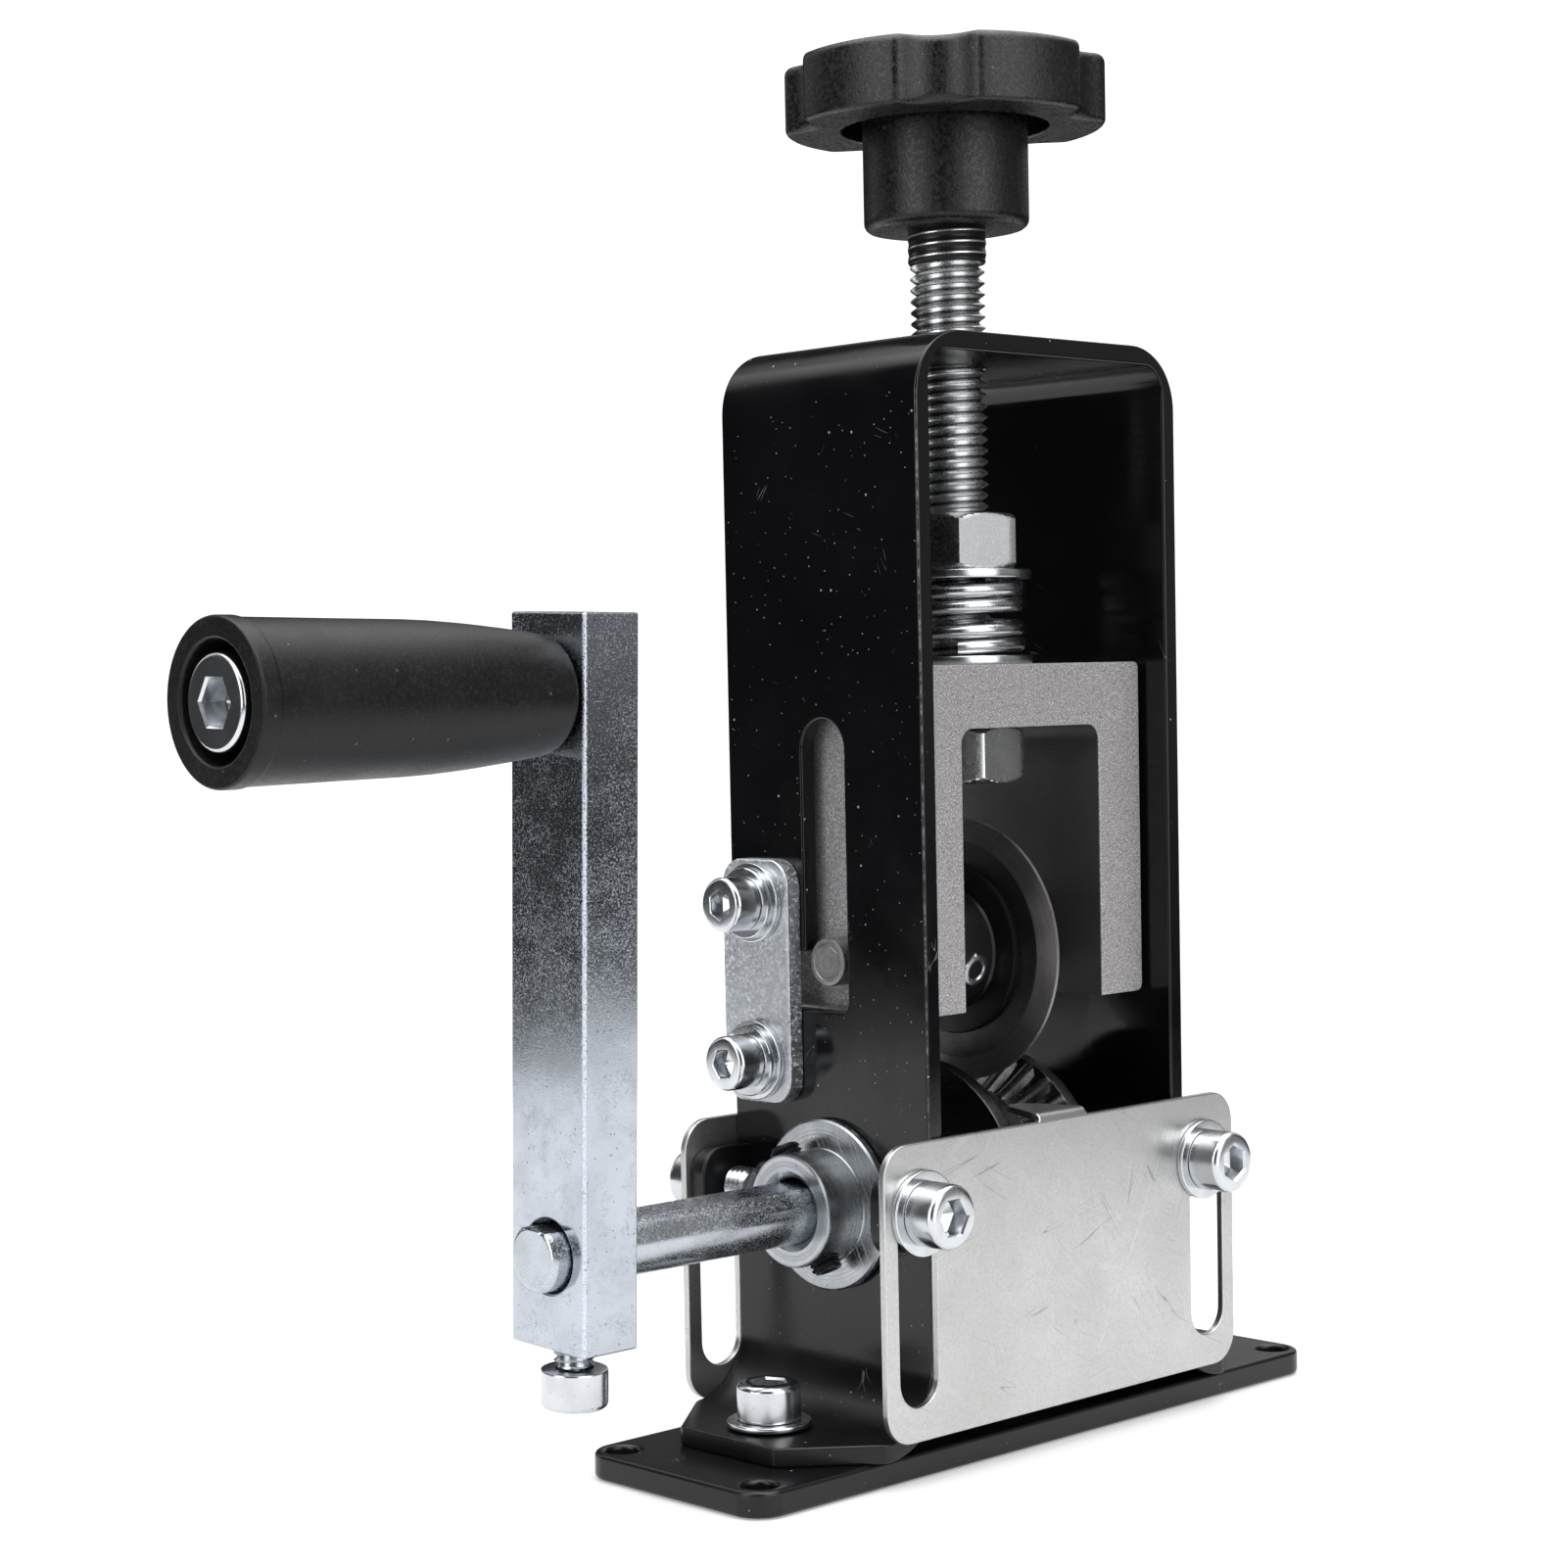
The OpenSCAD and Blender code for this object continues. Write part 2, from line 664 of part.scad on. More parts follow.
module star_knob() {
    recess_d = 6;
    recess_r = stem_d / 2 + 3.3;
    // Turn that sets one hollow towards the front left corner
    knob_turn = -103.3;
    color("#2e2e30") difference() {
        union() {
            translate([0, 0, star_z]) rotate([0, 0, knob_turn]) difference() {
                linear_extrude(star_h) star_plan();
                translate([0, 0, -1]) cylinder(r = recess_r, h = recess_d + 1);
            }
            translate([0, 0, stem_z]) cylinder(d = stem_d, h = stem_h + recess_d + 1);
            translate([0, 0, boss_z])
                cylinder(r1 = rod_d / 2 + 0.25, r2 = rod_d / 2 + 0.45, h = boss_h + 1);
            translate([0, 0, knob_top - 1]) cylinder(r = 7, h = 1.6);
        }
        translate([0, 0, boss_z - 1]) cylinder(r = rod_d / 2 + 0.03, h = star_z + 1 - boss_z);
    }
}

module threaded_rod() {
    chamfer = 0.45 * rod_pitch;
    l = star_z - 0.1 - rod_low;
    color("#b4b8bd") translate([0, 0, rod_low]) rotate_extrude() polygon([
        [0, 0], [rod_d / 2 - chamfer, 0], [rod_d / 2, chamfer],
        [rod_d / 2, l - chamfer], [rod_d / 2 - chamfer, l], [0, l]
    ]);
}

module upper_nut() {
    color("#c4c8cc") translate([0, 0, upper_nut_z]) rotate([0, 0, 0.5])
        hex_nut(nut_af, nut_h, rod_d / 2 + 0.03);
}

module lower_nut() {
    color("#c4c8cc") translate([0, 0, lower_nut_z]) rotate([0, 0, 6])
        hex_nut(nut_af, nut_h, rod_d / 2 + 0.03);
}

module upper_washer() {
    color("#b9bdc2") translate([0, 0, upper_washer_z])
        ring(washer_d / 2, rod_d / 2 + rod_gap, washer_t);
}

module lower_washer() {
    color("#b9bdc2") translate([0, 0, lower_washer_z])
        ring(washer_d / 2, rod_d / 2 + rod_gap, washer_t);
}

// Height of the spring's wire at a turn: close coils at both ends, one wide gap between
closed_turns = 1.5;
open_turns = 0.75;
spring_turns = 2 * closed_turns + open_turns;
end_gap = 0.03;
closed_pitch = wire_d + 0.45;
spring_climb = spring_h - wire_d - 2 * end_gap;
open_pitch = (spring_climb - 2 * closed_turns * closed_pitch) / open_turns;
coil_r = (spring_d - wire_d) / 2;
function spring_height(turn) =
    turn < closed_turns ? turn * closed_pitch
    : turn < closed_turns + open_turns ? closed_turns * closed_pitch + (turn - closed_turns) * open_pitch
    : spring_climb - (spring_turns - turn) * closed_pitch;

ring_count = round(spring_turns * 8);
wire_sides = 6;
spring_start = 200;
function coil_point(turn) = [
    coil_r * cos(spring_start + turn * 360),
    coil_r * sin(spring_start + turn * 360),
    spring_height(turn)
];
function coil_ring(i) = let (turn = spring_turns * i / ring_count, a = spring_start + turn * 360)
    [for (k = [0 : wire_sides - 1]) let (b = (k + 0.5) * 360 / wire_sides, r = wire_d / 2)
        coil_point(turn) + [r * cos(b) * cos(a), r * cos(b) * sin(a), r * sin(b)]];
function coil_rings() = [for (i = [0 : ring_count]) each coil_ring(i)];
function coil_sides() = [
    for (i = [0 : ring_count - 1], k = [0 : wire_sides - 1])
        let (a = i * wire_sides, b = a + wire_sides, n = (k + 1) % wire_sides)
        each [[a + k, b + k, b + n], [a + k, b + n, a + n]]
];
function coil_ends() = let (last = ring_count * wire_sides) [
    [for (k = [0 : wire_sides - 1]) k],
    [for (k = [wire_sides - 1 : -1 : 0]) last + k]
];
// Least gap between neighbouring turns, from points along the wire's middle
coil_gaps = [for (i = [0 : 96]) let (turn = (spring_turns - 1) * i / 96)
    norm(coil_point(turn + 1) - coil_point(turn)) - wire_d];
echo(least_spring_gap_mm = min(coil_gaps));

module pressure_spring() {
    color("#8d9196") translate([0, 0, spring_z + end_gap + wire_d / 2])
        polyhedron(points = coil_rings(), faces = concat(coil_sides(), coil_ends()), convexity = 6);
}

module yoke() {
    h = yoke_top - yoke_low;
    color("#8c8e90") difference() {
        translate([0, yoke_d / 2, yoke_low]) upright(yoke_d) difference() {
            translate([0, h / 2]) rounded_rect(yoke_w, h, 2);
            translate([0, -4]) translate([0, (window_top - yoke_low + 4) / 2])
                rounded_rect(window_w, window_top - yoke_low + 4, 3);
        }
        translate([0, 0, window_top - 1]) cylinder(r = rod_d / 2 + rod_gap, h = yoke_top_t + 2);
        translate([-wall_x, 0, blade_z]) along_x() cylinder(r = axle_d / 2 + run_gap, h = frame_w);
    }
}

module blade_axle() {
    chamfer = 0.5;
    l = frame_w - 0.4;
    r = axle_d / 2;
    color("#a4a7aa") translate([-l / 2, 0, blade_z]) along_x() rotate_extrude() polygon([
        [0, 0], [r - chamfer, 0], [r, chamfer], [r, l - chamfer], [r - chamfer, l], [0, l]
    ]);
}

blade_hub_l = 9.4;
blade_hub_out = blade_t / 2 + blade_hub_l;
// Tilt of the blade's grub screw below level, facing the front
blade_grub_tilt = 16;

// Places children at the blade hub's grub screw, pointing out
module at_blade_grub() {
    translate([-blade_t / 2 - 5, 0, blade_z]) rotate([90 + blade_grub_tilt, 0, 0]) children();
}

module blade_hub() {
    bore_r = axle_d / 2 + fit_gap;
    color("#232325") difference() {
        translate([-blade_hub_out, 0, blade_z]) along_x() rotate_extrude() polygon([
            [bore_r, 0], [blade_hub_d / 2 - 0.5, 0], [blade_hub_d / 2, 0.5],
            [blade_hub_d / 2, blade_hub_l - 1], [blade_hub_d / 2 + 4, blade_hub_l - 1],
            [blade_hub_d / 2 + 4, blade_hub_l], [bore_r, blade_hub_l]
        ]);
        at_blade_grub() cylinder(r = small_hole_r, h = blade_hub_d);
    }
}

module blade_grub_screw() {
    inner = axle_d / 2 + 0.1;
    color("#9b9ea2") at_blade_grub() translate([0, 0, inner])
        grub_screw(small_screw_d, blade_hub_d / 2 - inner + 0.2, 2.5);
}

module slitting_blade() {
    r = blade_d / 2;
    half = blade_t / 2;
    bevel = 3.6;
    bore_r = axle_d / 2 + fit_gap;
    color("#85888c") translate([0, 0, blade_z]) along_x() rotate_extrude($fn = 96) polygon([
        [bore_r, -half], [r - bevel, -half], [r, -0.15], [r, 0.15], [r - bevel, half], [bore_r, half]
    ]);
}

module blade_spacers() {
    bore_r = axle_d / 2 + fit_gap;
    leg_in = window_w / 2 - face_gap;
    color("#3a3a3c") {
        translate([blade_t / 2 + fit_gap, 0, blade_z]) along_x()
            ring(axle_d / 2 + 2.2, bore_r, leg_in - blade_t / 2 - fit_gap);
        translate([-leg_in, 0, blade_z]) along_x()
            ring(axle_d / 2 + 2.2, bore_r, leg_in - blade_hub_out - fit_gap);
    }
}

base_plate();
frame_channel();
foot_screws();
foot_washers();
left_link_plate();
right_link_plate();
link_screws();
link_washers();
link_spring_washers();
guide_screws();
guide_washers();
front_guide_plate();
rear_guide_plate();
drive_shaft();
left_hub();
right_hub();
hub_grub_screws();
feed_roller();
shaft_spacers();
crank_arm();
arm_clamp_screw();
handle_bolt();
handle_grip();
star_knob();
threaded_rod();
upper_nut();
lower_nut();
upper_washer();
pressure_spring();
lower_washer();
yoke();
blade_axle();
blade_hub();
blade_grub_screw();
slitting_blade();
blade_spacers();
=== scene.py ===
import bpy
import bmesh
import math
from math import cos, sin, pi, radians
from mathutils import Matrix, Vector
from mathutils.geometry import tessellate_polygon


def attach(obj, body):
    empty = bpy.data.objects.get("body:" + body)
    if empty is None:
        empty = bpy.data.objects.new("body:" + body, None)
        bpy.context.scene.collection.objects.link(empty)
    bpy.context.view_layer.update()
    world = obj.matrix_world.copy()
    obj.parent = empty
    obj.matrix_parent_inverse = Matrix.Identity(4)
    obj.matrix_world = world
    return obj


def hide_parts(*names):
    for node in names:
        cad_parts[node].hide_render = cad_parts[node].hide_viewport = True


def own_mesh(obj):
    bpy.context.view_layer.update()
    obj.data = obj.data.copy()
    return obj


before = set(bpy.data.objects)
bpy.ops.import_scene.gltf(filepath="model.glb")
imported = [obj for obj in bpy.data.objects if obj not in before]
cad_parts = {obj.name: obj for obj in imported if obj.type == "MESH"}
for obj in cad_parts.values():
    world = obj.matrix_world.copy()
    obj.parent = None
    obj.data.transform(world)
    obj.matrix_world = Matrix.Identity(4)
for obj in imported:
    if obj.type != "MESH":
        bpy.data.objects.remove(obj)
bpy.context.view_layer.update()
scene = bpy.context.scene
MM = 0.001
TO_MM = 1000.0

# ---------------------------------------------------------------- camera
YAW, PITCH, ROLL = radians(-42.538), radians(-3.409), radians(-1.270)
fwd = Vector((-sin(YAW) * cos(PITCH), cos(YAW) * cos(PITCH), sin(PITCH)))
right = fwd.cross(Vector((0, 0, 1))).normalized()
up = right.cross(fwd)
r2 = cos(ROLL) * right + sin(ROLL) * up
u2 = -sin(ROLL) * right + cos(ROLL) * up
cam = bpy.data.objects.new("camera", bpy.data.cameras.new("camera"))
scene.collection.objects.link(cam)
cam.matrix_world = Matrix((
    (r2.x, u2.x, -fwd.x, -0.3585), (r2.y, u2.y, -fwd.y, -0.3315),
    (r2.z, u2.z, -fwd.z, 0.1196), (0, 0, 0, 1)))
cam.data.sensor_width = 36
cam.data.lens = 70.09
cam.data.shift_x = 0.0492
cam.data.shift_y = 0.0519
cam.data.clip_start = 0.01
scene.camera = cam
scene.view_settings.view_transform = "Standard"


# ---------------------------------------------------------------- shader nodes
class Graph:
    """The nodes of a material or of the world."""

    def __init__(self, tree):
        self.t = tree

    def add(self, kind, ins=None, **props):
        """A shader node with its properties and inputs set; an input may be another node's output."""
        node = self.t.nodes.new("ShaderNode" + kind)
        for key, value in props.items():
            setattr(node, key, value)
        for key, value in (ins or {}).items():
            if isinstance(value, bpy.types.NodeSocket):
                self.t.links.new(value, node.inputs[key])
            else:
                node.inputs[key].default_value = value
        return node

    def fit(self, value, lo, hi, a=0.0, b=1.0):
        """A value that goes smoothly from a to b while the given one goes from lo to hi."""
        ins = {"Value": value, "From Min": lo, "From Max": hi, "To Min": a, "To Max": b}
        return self.add("MapRange", ins, interpolation_type="SMOOTHSTEP").outputs[0]

    def vec(self, kind, a, b=(0, 0, 0), out=0):
        return self.add("VectorMath", {0: a, 1: b}, operation=kind).outputs[out]

    def math(self, kind, a, b=0.0):
        return self.add("Math", {0: a, 1: b}, operation=kind).outputs[0]

    def mul(self, a, b):
        return self.math("MULTIPLY", a, b)

    def sum(self, a, b):
        return self.math("ADD", a, b)

    def sub(self, a, b):
        return self.math("SUBTRACT", a, b)

    def max(self, a, b):
        return self.math("MAXIMUM", a, b)

    def abs(self, a):
        return self.math("ABSOLUTE", a)


# Every material by its name
MATS = {}


class Finish(Graph):
    """A Principled material built from procedural patterns in the piece's own coordinates, listed in MATS."""

    def __init__(self, name, **plain):
        self.m = MATS[name] = bpy.data.materials.new(name)
        self.m.use_nodes = True
        super().__init__(self.m.node_tree)
        self.b = self.t.nodes["Principled BSDF"]
        for key, value in plain.items():
            self.b.inputs[key.replace("_", " ")].default_value = value
        self.co = self.add("TexCoord").outputs["Object"]

    def space(self, sx, sy=None, sz=None, turn=(0, 0, 0), off=(0, 0, 0)):
        """Coordinates in mm, stretched, all three alike unless three numbers are given, and turned."""
        scale = [TO_MM * (sx if k is None else k) for k in (sx, sy, sz)]
        return self.add("Mapping", {"Vector": self.co, "Scale": scale, "Rotation": tuple(map(radians, turn)),
                                    "Location": off}).outputs[0]

    def noise(self, vec, detail, rough=0.5, twist=0.0):
        return self.add("TexNoise", {"Vector": vec, "Scale": 1.0, "Detail": detail, "Roughness": rough,
                                     "Distortion": twist}).outputs["Fac"]

    def mix(self, fac, a, b):
        """Colours a and b mixed, each of them three numbers or a node's output."""
        ins = {"Factor": fac}
        for key, value in ((6, a), (7, b)):
            ins[key] = value if isinstance(value, bpy.types.NodeSocket) else (*value, 1)
        return self.add("Mix", ins, data_type="RGBA").outputs[2]

    def axis(self, name):
        return self.add("SeparateXYZ", {"Vector": self.co}).outputs[name]

    def radius(self):
        """Distance from the piece's own Z axis, in mm."""
        return self.vec("LENGTH", self.vec("MULTIPLY", self.co, (TO_MM, TO_MM, 0)), out="Value")

    def link(self, key, value):
        self.t.links.new(value, self.b.inputs[key])

    def bump(self, height, strength, depth):
        """Adds relief of the given depth in mm."""
        before = self.b.inputs["Normal"].links
        node = self.add("Bump", {"Height": height, "Strength": strength, "Distance": depth * MM})
        if before:
            self.t.links.new(before[0].from_socket, node.inputs["Normal"])
        self.t.links.new(node.outputs[0], self.b.inputs["Normal"])


# The low and the high value of most of a noise pattern
SPREAD = (0.35, 0.7)


def shade(k, tone):
    """A tone, k times as bright."""
    return tuple(min(0.95, k * c) for c in tone)


def hairs(f, normal, angles, across, length, width, seed, gate):
    """Straight hairlines within the faces square to X or Y, faded in and out along their length."""
    total = None
    for i, angle in enumerate(angles):
        turned = f.space(across, turn=[angle if k == normal else 0 for k in "XYZ"],
                         off=(3.1 * i + seed, 7.7 * i, 5.3 * i + 2 * seed))
        vec = f.vec("MULTIPLY", turned, (1.0, 1.0, 1.0 / length))
        line = f.abs(f.sub(f.noise(vec, 0.0), 0.5))
        fade = f.noise(f.space(0.11, off=(9.0 * i, seed, 4.0)), 2.0)
        mark = f.mul(f.fit(line, 0.3 * width, width, 1.0, 0.0), f.fit(fade, *gate))
        total = mark if total is None else f.max(total, mark)
    return total


def dust(f, scale, small, large, share, seed=0.0):
    """Sharp little dots, one at most to a cell, in the given share of the cells."""
    vec = f.space(scale, off=(seed, 2 * seed, 3 * seed))
    node = f.add("TexVoronoi", {"Vector": vec, "Scale": 1.0})
    pick = f.add("SeparateXYZ", {"Vector": node.outputs["Color"]}).outputs
    size = f.fit(pick["Y"], 0.0, 1.0, small, large)
    dot = f.math("LESS_THAN", node.outputs["Distance"], size)
    return f.mul(dot, f.math("LESS_THAN", pick["X"], share))


def frame_paint():
    """Black gloss enamel, duller low down, with dust, hairlines and a painted highlight in patches along the
    walls' front edges.
    """
    f = Finish("frame_paint", Specular_IOR_Level=0.38)
    wide = f.noise(f.space(0.03), 4.0)
    tone = f.mix(f.fit(wide, *SPREAD), (0.0018, 0.0019, 0.0024), (0.0030, 0.0032, 0.0038))
    spots = f.max(dust(f, 0.40, 0.03, 0.08, 0.3), dust(f, 0.9, 0.05, 0.10, 0.10, 5.0))
    marks = f.mul(hairs(f, "X", (20, -35, 70), 0.7, 9.0, 0.02, 11.0, (0.70, 0.76)), 0.25)
    pale_marks = f.max(f.mul(spots, 0.7), marks)
    # |X| - Y is largest at the walls' front corners; the tabs there reach further out in |X|
    x = f.abs(f.mul(f.axis("X"), TO_MM))
    corner = f.sub(x, f.mul(f.axis("Y"), TO_MM))
    # Painted highlight: pale patches along the walls' front edge rounding, stronger higher up
    edge = f.mul(f.fit(corner, 50.66, 50.74), f.fit(x, 30.04, 30.1, 1.0, 0.0))
    edge = f.mul(edge, f.fit(f.axis("Z"), 0.045, 0.085, 0.35, 1.0))
    highlight_patches = f.fit(f.noise(f.space(0.5, 0.5, 0.6), 6.0, 0.7), 0.42, 0.68, 0.04, 0.6)
    pale_marks = f.max(pale_marks, f.mul(edge, highlight_patches))
    f.link("Base Color", f.mix(pale_marks, tone, (0.34, 0.34, 0.35)))
    haze = f.noise(f.space(0.09), 5.0, 0.6)
    dull = f.fit(f.axis("Z"), 0.008, 0.032, 0.17, 0.0)
    rough = f.sum(f.fit(haze, 0.3, 0.75, 0.11, 0.2), dull)
    f.link("Roughness", f.sum(rough, f.mul(pale_marks, 0.4)))
    f.bump(f.noise(f.space(0.9), 3.0), 0.08, 0.04)


def plated(name, base, rough, flake, scale, root_shade=None, low=None, edge=None):
    """Zinc plate: smooth metal with grains and curls of dull pale bloom.

    root_shade: radii in mm between which a thread's root is darkened with painted shade. low: heights in m
    over which the bloom thins out.
    edge: a corner of the piece, in mm along (Z - X), whose rounding gets a painted highlight."""
    f = Finish(name, Metallic=1.0)
    stain = f.noise(f.space(0.12 * scale, 0.12 * scale, 0.09 * scale), 4.0, 0.6, 0.3)
    curl = f.noise(f.space(0.62 * scale, 0.62 * scale, 0.5 * scale), 4.0, 0.7, 0.8)
    curl = f.fit(f.abs(f.sub(curl, 0.5)), 0.004, 0.018, 1.0, 0.0)
    grain = f.noise(f.space(2.6 * scale, 2.6 * scale, 2.3 * scale), 2.0, 0.8)
    mask = f.max(f.mul(curl, 0.6), f.fit(grain, 0.53, 0.64))
    mask = f.mul(mask, f.fit(stain, 0.34, 0.6, 0.6, 1.0))
    if low:
        up = f.fit(f.axis("Y"), *low)
        mask = f.mul(mask, f.sum(f.mul(up, 0.8), 0.2))
    mask = f.mul(mask, flake)
    if edge:
        # Painted highlight along the corner's rounding, broken up by the grain
        span = f.mul(f.sub(f.axis("Z"), f.axis("X")), TO_MM)
        edge_highlight = f.mul(f.fit(span, edge - 0.62, edge - 0.45), f.fit(grain, 0.40, 0.55, 0.15, 0.9))
        mask = f.max(mask, edge_highlight)
    pits = dust(f, 0.8 * scale, 0.06, 0.16, 0.35, 3.0)
    tone = f.mix(f.fit(stain, 0.36, 0.68), base, shade(0.88, base))
    tone = f.mix(mask, tone, shade(1.45, base))
    tone = f.mix(f.mul(pits, 0.6), tone, (0.05, 0.05, 0.05))
    if low:
        patch = f.fit(f.noise(f.space(0.2, off=(7, 2, 5)), 3.0, 0.7), 0.44, 0.6)
        marks = f.mul(f.mul(curl, patch), f.sub(1.0, up))
        tone = f.mix(f.mul(marks, 0.55), tone, (0.10, 0.10, 0.10))
    if root_shade:
        # Painted shade in the thread's roots
        tone = f.mix(f.fit(f.radius(), *root_shade, 1.0, 0.0), tone, (0.14, 0.14, 0.14))
    f.link("Base Color", tone)
    f.link("Roughness", f.sum(f.fit(stain, *SPREAD, *rough), f.mul(mask, 0.5)))
    f.bump(grain, 0.12 * min(1.0, 2 * flake), 0.04)


def turned(name, base, rough, lines, mark, metallic=1.0, streak=0.0, crest=None):
    """Steel turned on a lathe: fine rings round the piece's own Z axis, flecks and pits.

    streak: strength of straight streaks beyond a hub's radius of 9 mm. crest: radii in mm between which a
    thread's crest is painted pale metal: bare metal showing through the dark coat, and a painted highlight
    for the crests' glints."""
    f = Finish(name, Metallic=metallic)
    rings = f.add("CombineXYZ", {"X": f.mul(f.axis("Z"), TO_MM * lines), "Y": f.mul(f.radius(), lines),
                                 "Z": 0.0}).outputs[0]
    cut = f.noise(rings, 4.0, 0.6)
    stain = f.noise(f.space(0.2), 4.0, 0.6, 0.3)
    fleck = f.mul(f.fit(f.noise(f.space(2.2, 2.2, 1.8), 3.0, 0.8), 0.5, 0.62), mark)
    tone = f.mix(f.fit(stain, 0.36, 0.68), base, shade(0.86, base))
    tone = f.mix(fleck, tone, shade(1.7, base))
    if streak:
        vec = f.vec("MULTIPLY", f.space(1.0, turn=(0, 0, 62)), (2.4, 0.05, 0.6))
        drawn = f.fit(f.noise(vec, 3.0, 0.7), 0.52, 0.64)
        drawn = f.mul(drawn, f.fit(f.radius(), 8.8, 9.1, 0.15 * streak, streak))
        tone = f.mix(drawn, tone, shade(1.5, base))
        fleck = f.max(fleck, drawn)
    tone = f.mix(f.mul(dust(f, 0.7, 0.05, 0.15, 0.4, 2.0), 0.7), tone, shade(0.2, base))
    tone = f.mix(f.fit(cut, *SPREAD, 0.0, 0.45), tone, shade(0.45, base))
    r = f.sum(f.fit(stain, *SPREAD, *rough), f.fit(cut, 0.3, 0.7, -0.03, 0.06))
    if crest:
        # Pale metal on the crest: bare metal, and a painted highlight for the crests' glints
        bright = f.fit(f.radius(), *crest)
        tone = f.mix(bright, tone, (0.75, 0.75, 0.75))
        f.link("Metallic", f.fit(f.radius(), *crest, metallic, 1.0))
    f.link("Base Color", tone)
    f.link("Roughness", f.sum(r, f.mul(fleck, 0.3)))
    f.bump(cut, 0.25, 0.03)
    f.bump(fleck, 0.10, 0.03)


def guide_steel():
    """Rolled stainless sheet: even satin, with pale and dark hairlines and a few smudges."""
    f = Finish("guide_steel", Metallic=1.0)
    grain = f.noise(f.space(2.4), 3.0, 0.75)
    cloud = f.noise(f.space(0.07), 5.0, 0.6, 0.3)
    smudge = f.fit(f.noise(f.space(0.16, off=(3, 8, 1)), 6.0, 0.75, 0.6), 0.56, 0.78)
    hair = hairs(f, "Y", (12, 48, 75, -30, -62), 0.6, 40.0, 0.010, 5.0, (0.48, 0.6))
    deep = hairs(f, "Y", (35, -20, 66, -75), 0.4, 30.0, 0.007, 31.0, (0.55, 0.66))
    tone = f.mix(f.fit(cloud, 0.3, 0.72), (0.575, 0.575, 0.565), (0.53, 0.53, 0.52))
    tone = f.mix(f.mul(smudge, 0.25), tone, (0.38, 0.38, 0.38))
    tone = f.mix(f.fit(grain, 0.42, 0.66, 0.0, 0.4), tone, (0.40, 0.40, 0.40))
    tone = f.mix(f.mul(hair, 0.15), tone, (0.80, 0.80, 0.80))
    f.link("Base Color", f.mix(f.mul(deep, 0.55), tone, (0.20, 0.20, 0.21)))
    f.link("Roughness", f.sum(f.fit(cloud, *SPREAD, 0.30, 0.35), f.fit(grain, 0.3, 0.7, -0.03, 0.05)))
    f.bump(f.max(hair, deep), 0.15, 0.02)
    f.bump(grain, 0.08, 0.03)


def yoke_metal():
    """Sand-blasted light metal with an even sparkling grain and one round die mark."""
    f = Finish("yoke_metal", Metallic=0.55)
    blast = f.noise(f.space(3.4), 2.0, 0.8)
    coarse = f.noise(f.space(2.2), 3.0, 0.75)
    cloud = f.noise(f.space(0.09), 5.0, 0.6)
    tone = f.mix(f.fit(cloud, 0.35, 0.68), (0.30, 0.29, 0.295), (0.265, 0.257, 0.262))
    tone = f.mix(f.fit(blast, 0.50, 0.62), tone, (0.58, 0.565, 0.575))
    tone = f.mix(f.fit(coarse, 0.32, 0.47, 0.7, 0.0), tone, (0.12, 0.116, 0.12))
    ring = f.mul(f.vec("DISTANCE", f.co, (MARK_X * MM, MARK_Z * MM, YOKE_FACE * MM), "Value"), TO_MM)
    ring = f.fit(f.abs(f.sub(ring, 2.0)), 0.1, 0.5, 0.2, 0.0)
    tone = f.mix(ring, tone, (0.6, 0.59, 0.6))
    # The window's inner faces are dark and not metallic
    x = f.mul(f.abs(f.axis("X")), TO_MM)
    inside = f.mul(f.math("LESS_THAN", x, INSIDE_X), f.math("LESS_THAN", f.axis("Z"), (YOKE_FACE - 0.3) * MM))
    inside = f.mul(inside, f.math("LESS_THAN", f.axis("Y"), INSIDE_TOP * MM))
    f.link("Base Color", f.mix(inside, tone, f.mix(cloud, (0.040, 0.036, 0.036), (0.026, 0.024, 0.024))))
    f.link("Metallic", f.mul(f.sub(1.0, inside), 0.55))
    f.link("Roughness", f.fit(cloud, *SPREAD, 0.5, 0.62))
    f.bump(blast, 0.6, 0.10)
    f.bump(coarse, 0.4, 0.10)


def plastic(name, rough, grain, size, spots, shine):
    """Moulded black plastic or rubber with a leathery grain and a few worn dots."""
    f = Finish(name, Specular_IOR_Level=shine)
    tone_a, tone_b = (0.0035, 0.0035, 0.004), (0.0055, 0.0055, 0.006)
    cloud = f.noise(f.space(0.08), 5.0, 0.65, 0.4)
    leather = f.noise(f.space(size), 3.0, 0.75)
    fine = f.noise(f.space(2.0 * size), 2.0, 0.7)
    tone = f.mix(f.fit(cloud, *SPREAD), tone_a, tone_b)
    tone = f.mix(f.fit(leather, 0.52, 0.68, 0.0, 0.7), tone, shade(2.6, tone_b))
    pale_marks = f.mul(dust(f, 0.55, 0.05, 0.12, 0.3, 7.0), spots)
    f.link("Base Color", f.mix(pale_marks, tone, (0.16, 0.16, 0.165)))
    dull = f.fit(cloud, *SPREAD, *rough)
    f.link("Roughness", f.sum(dull, f.fit(leather, 0.36, 0.64, -0.12 * grain, 0.14 * grain)))
    f.bump(leather, grain, 0.07)
    f.bump(fine, grain, 0.03)


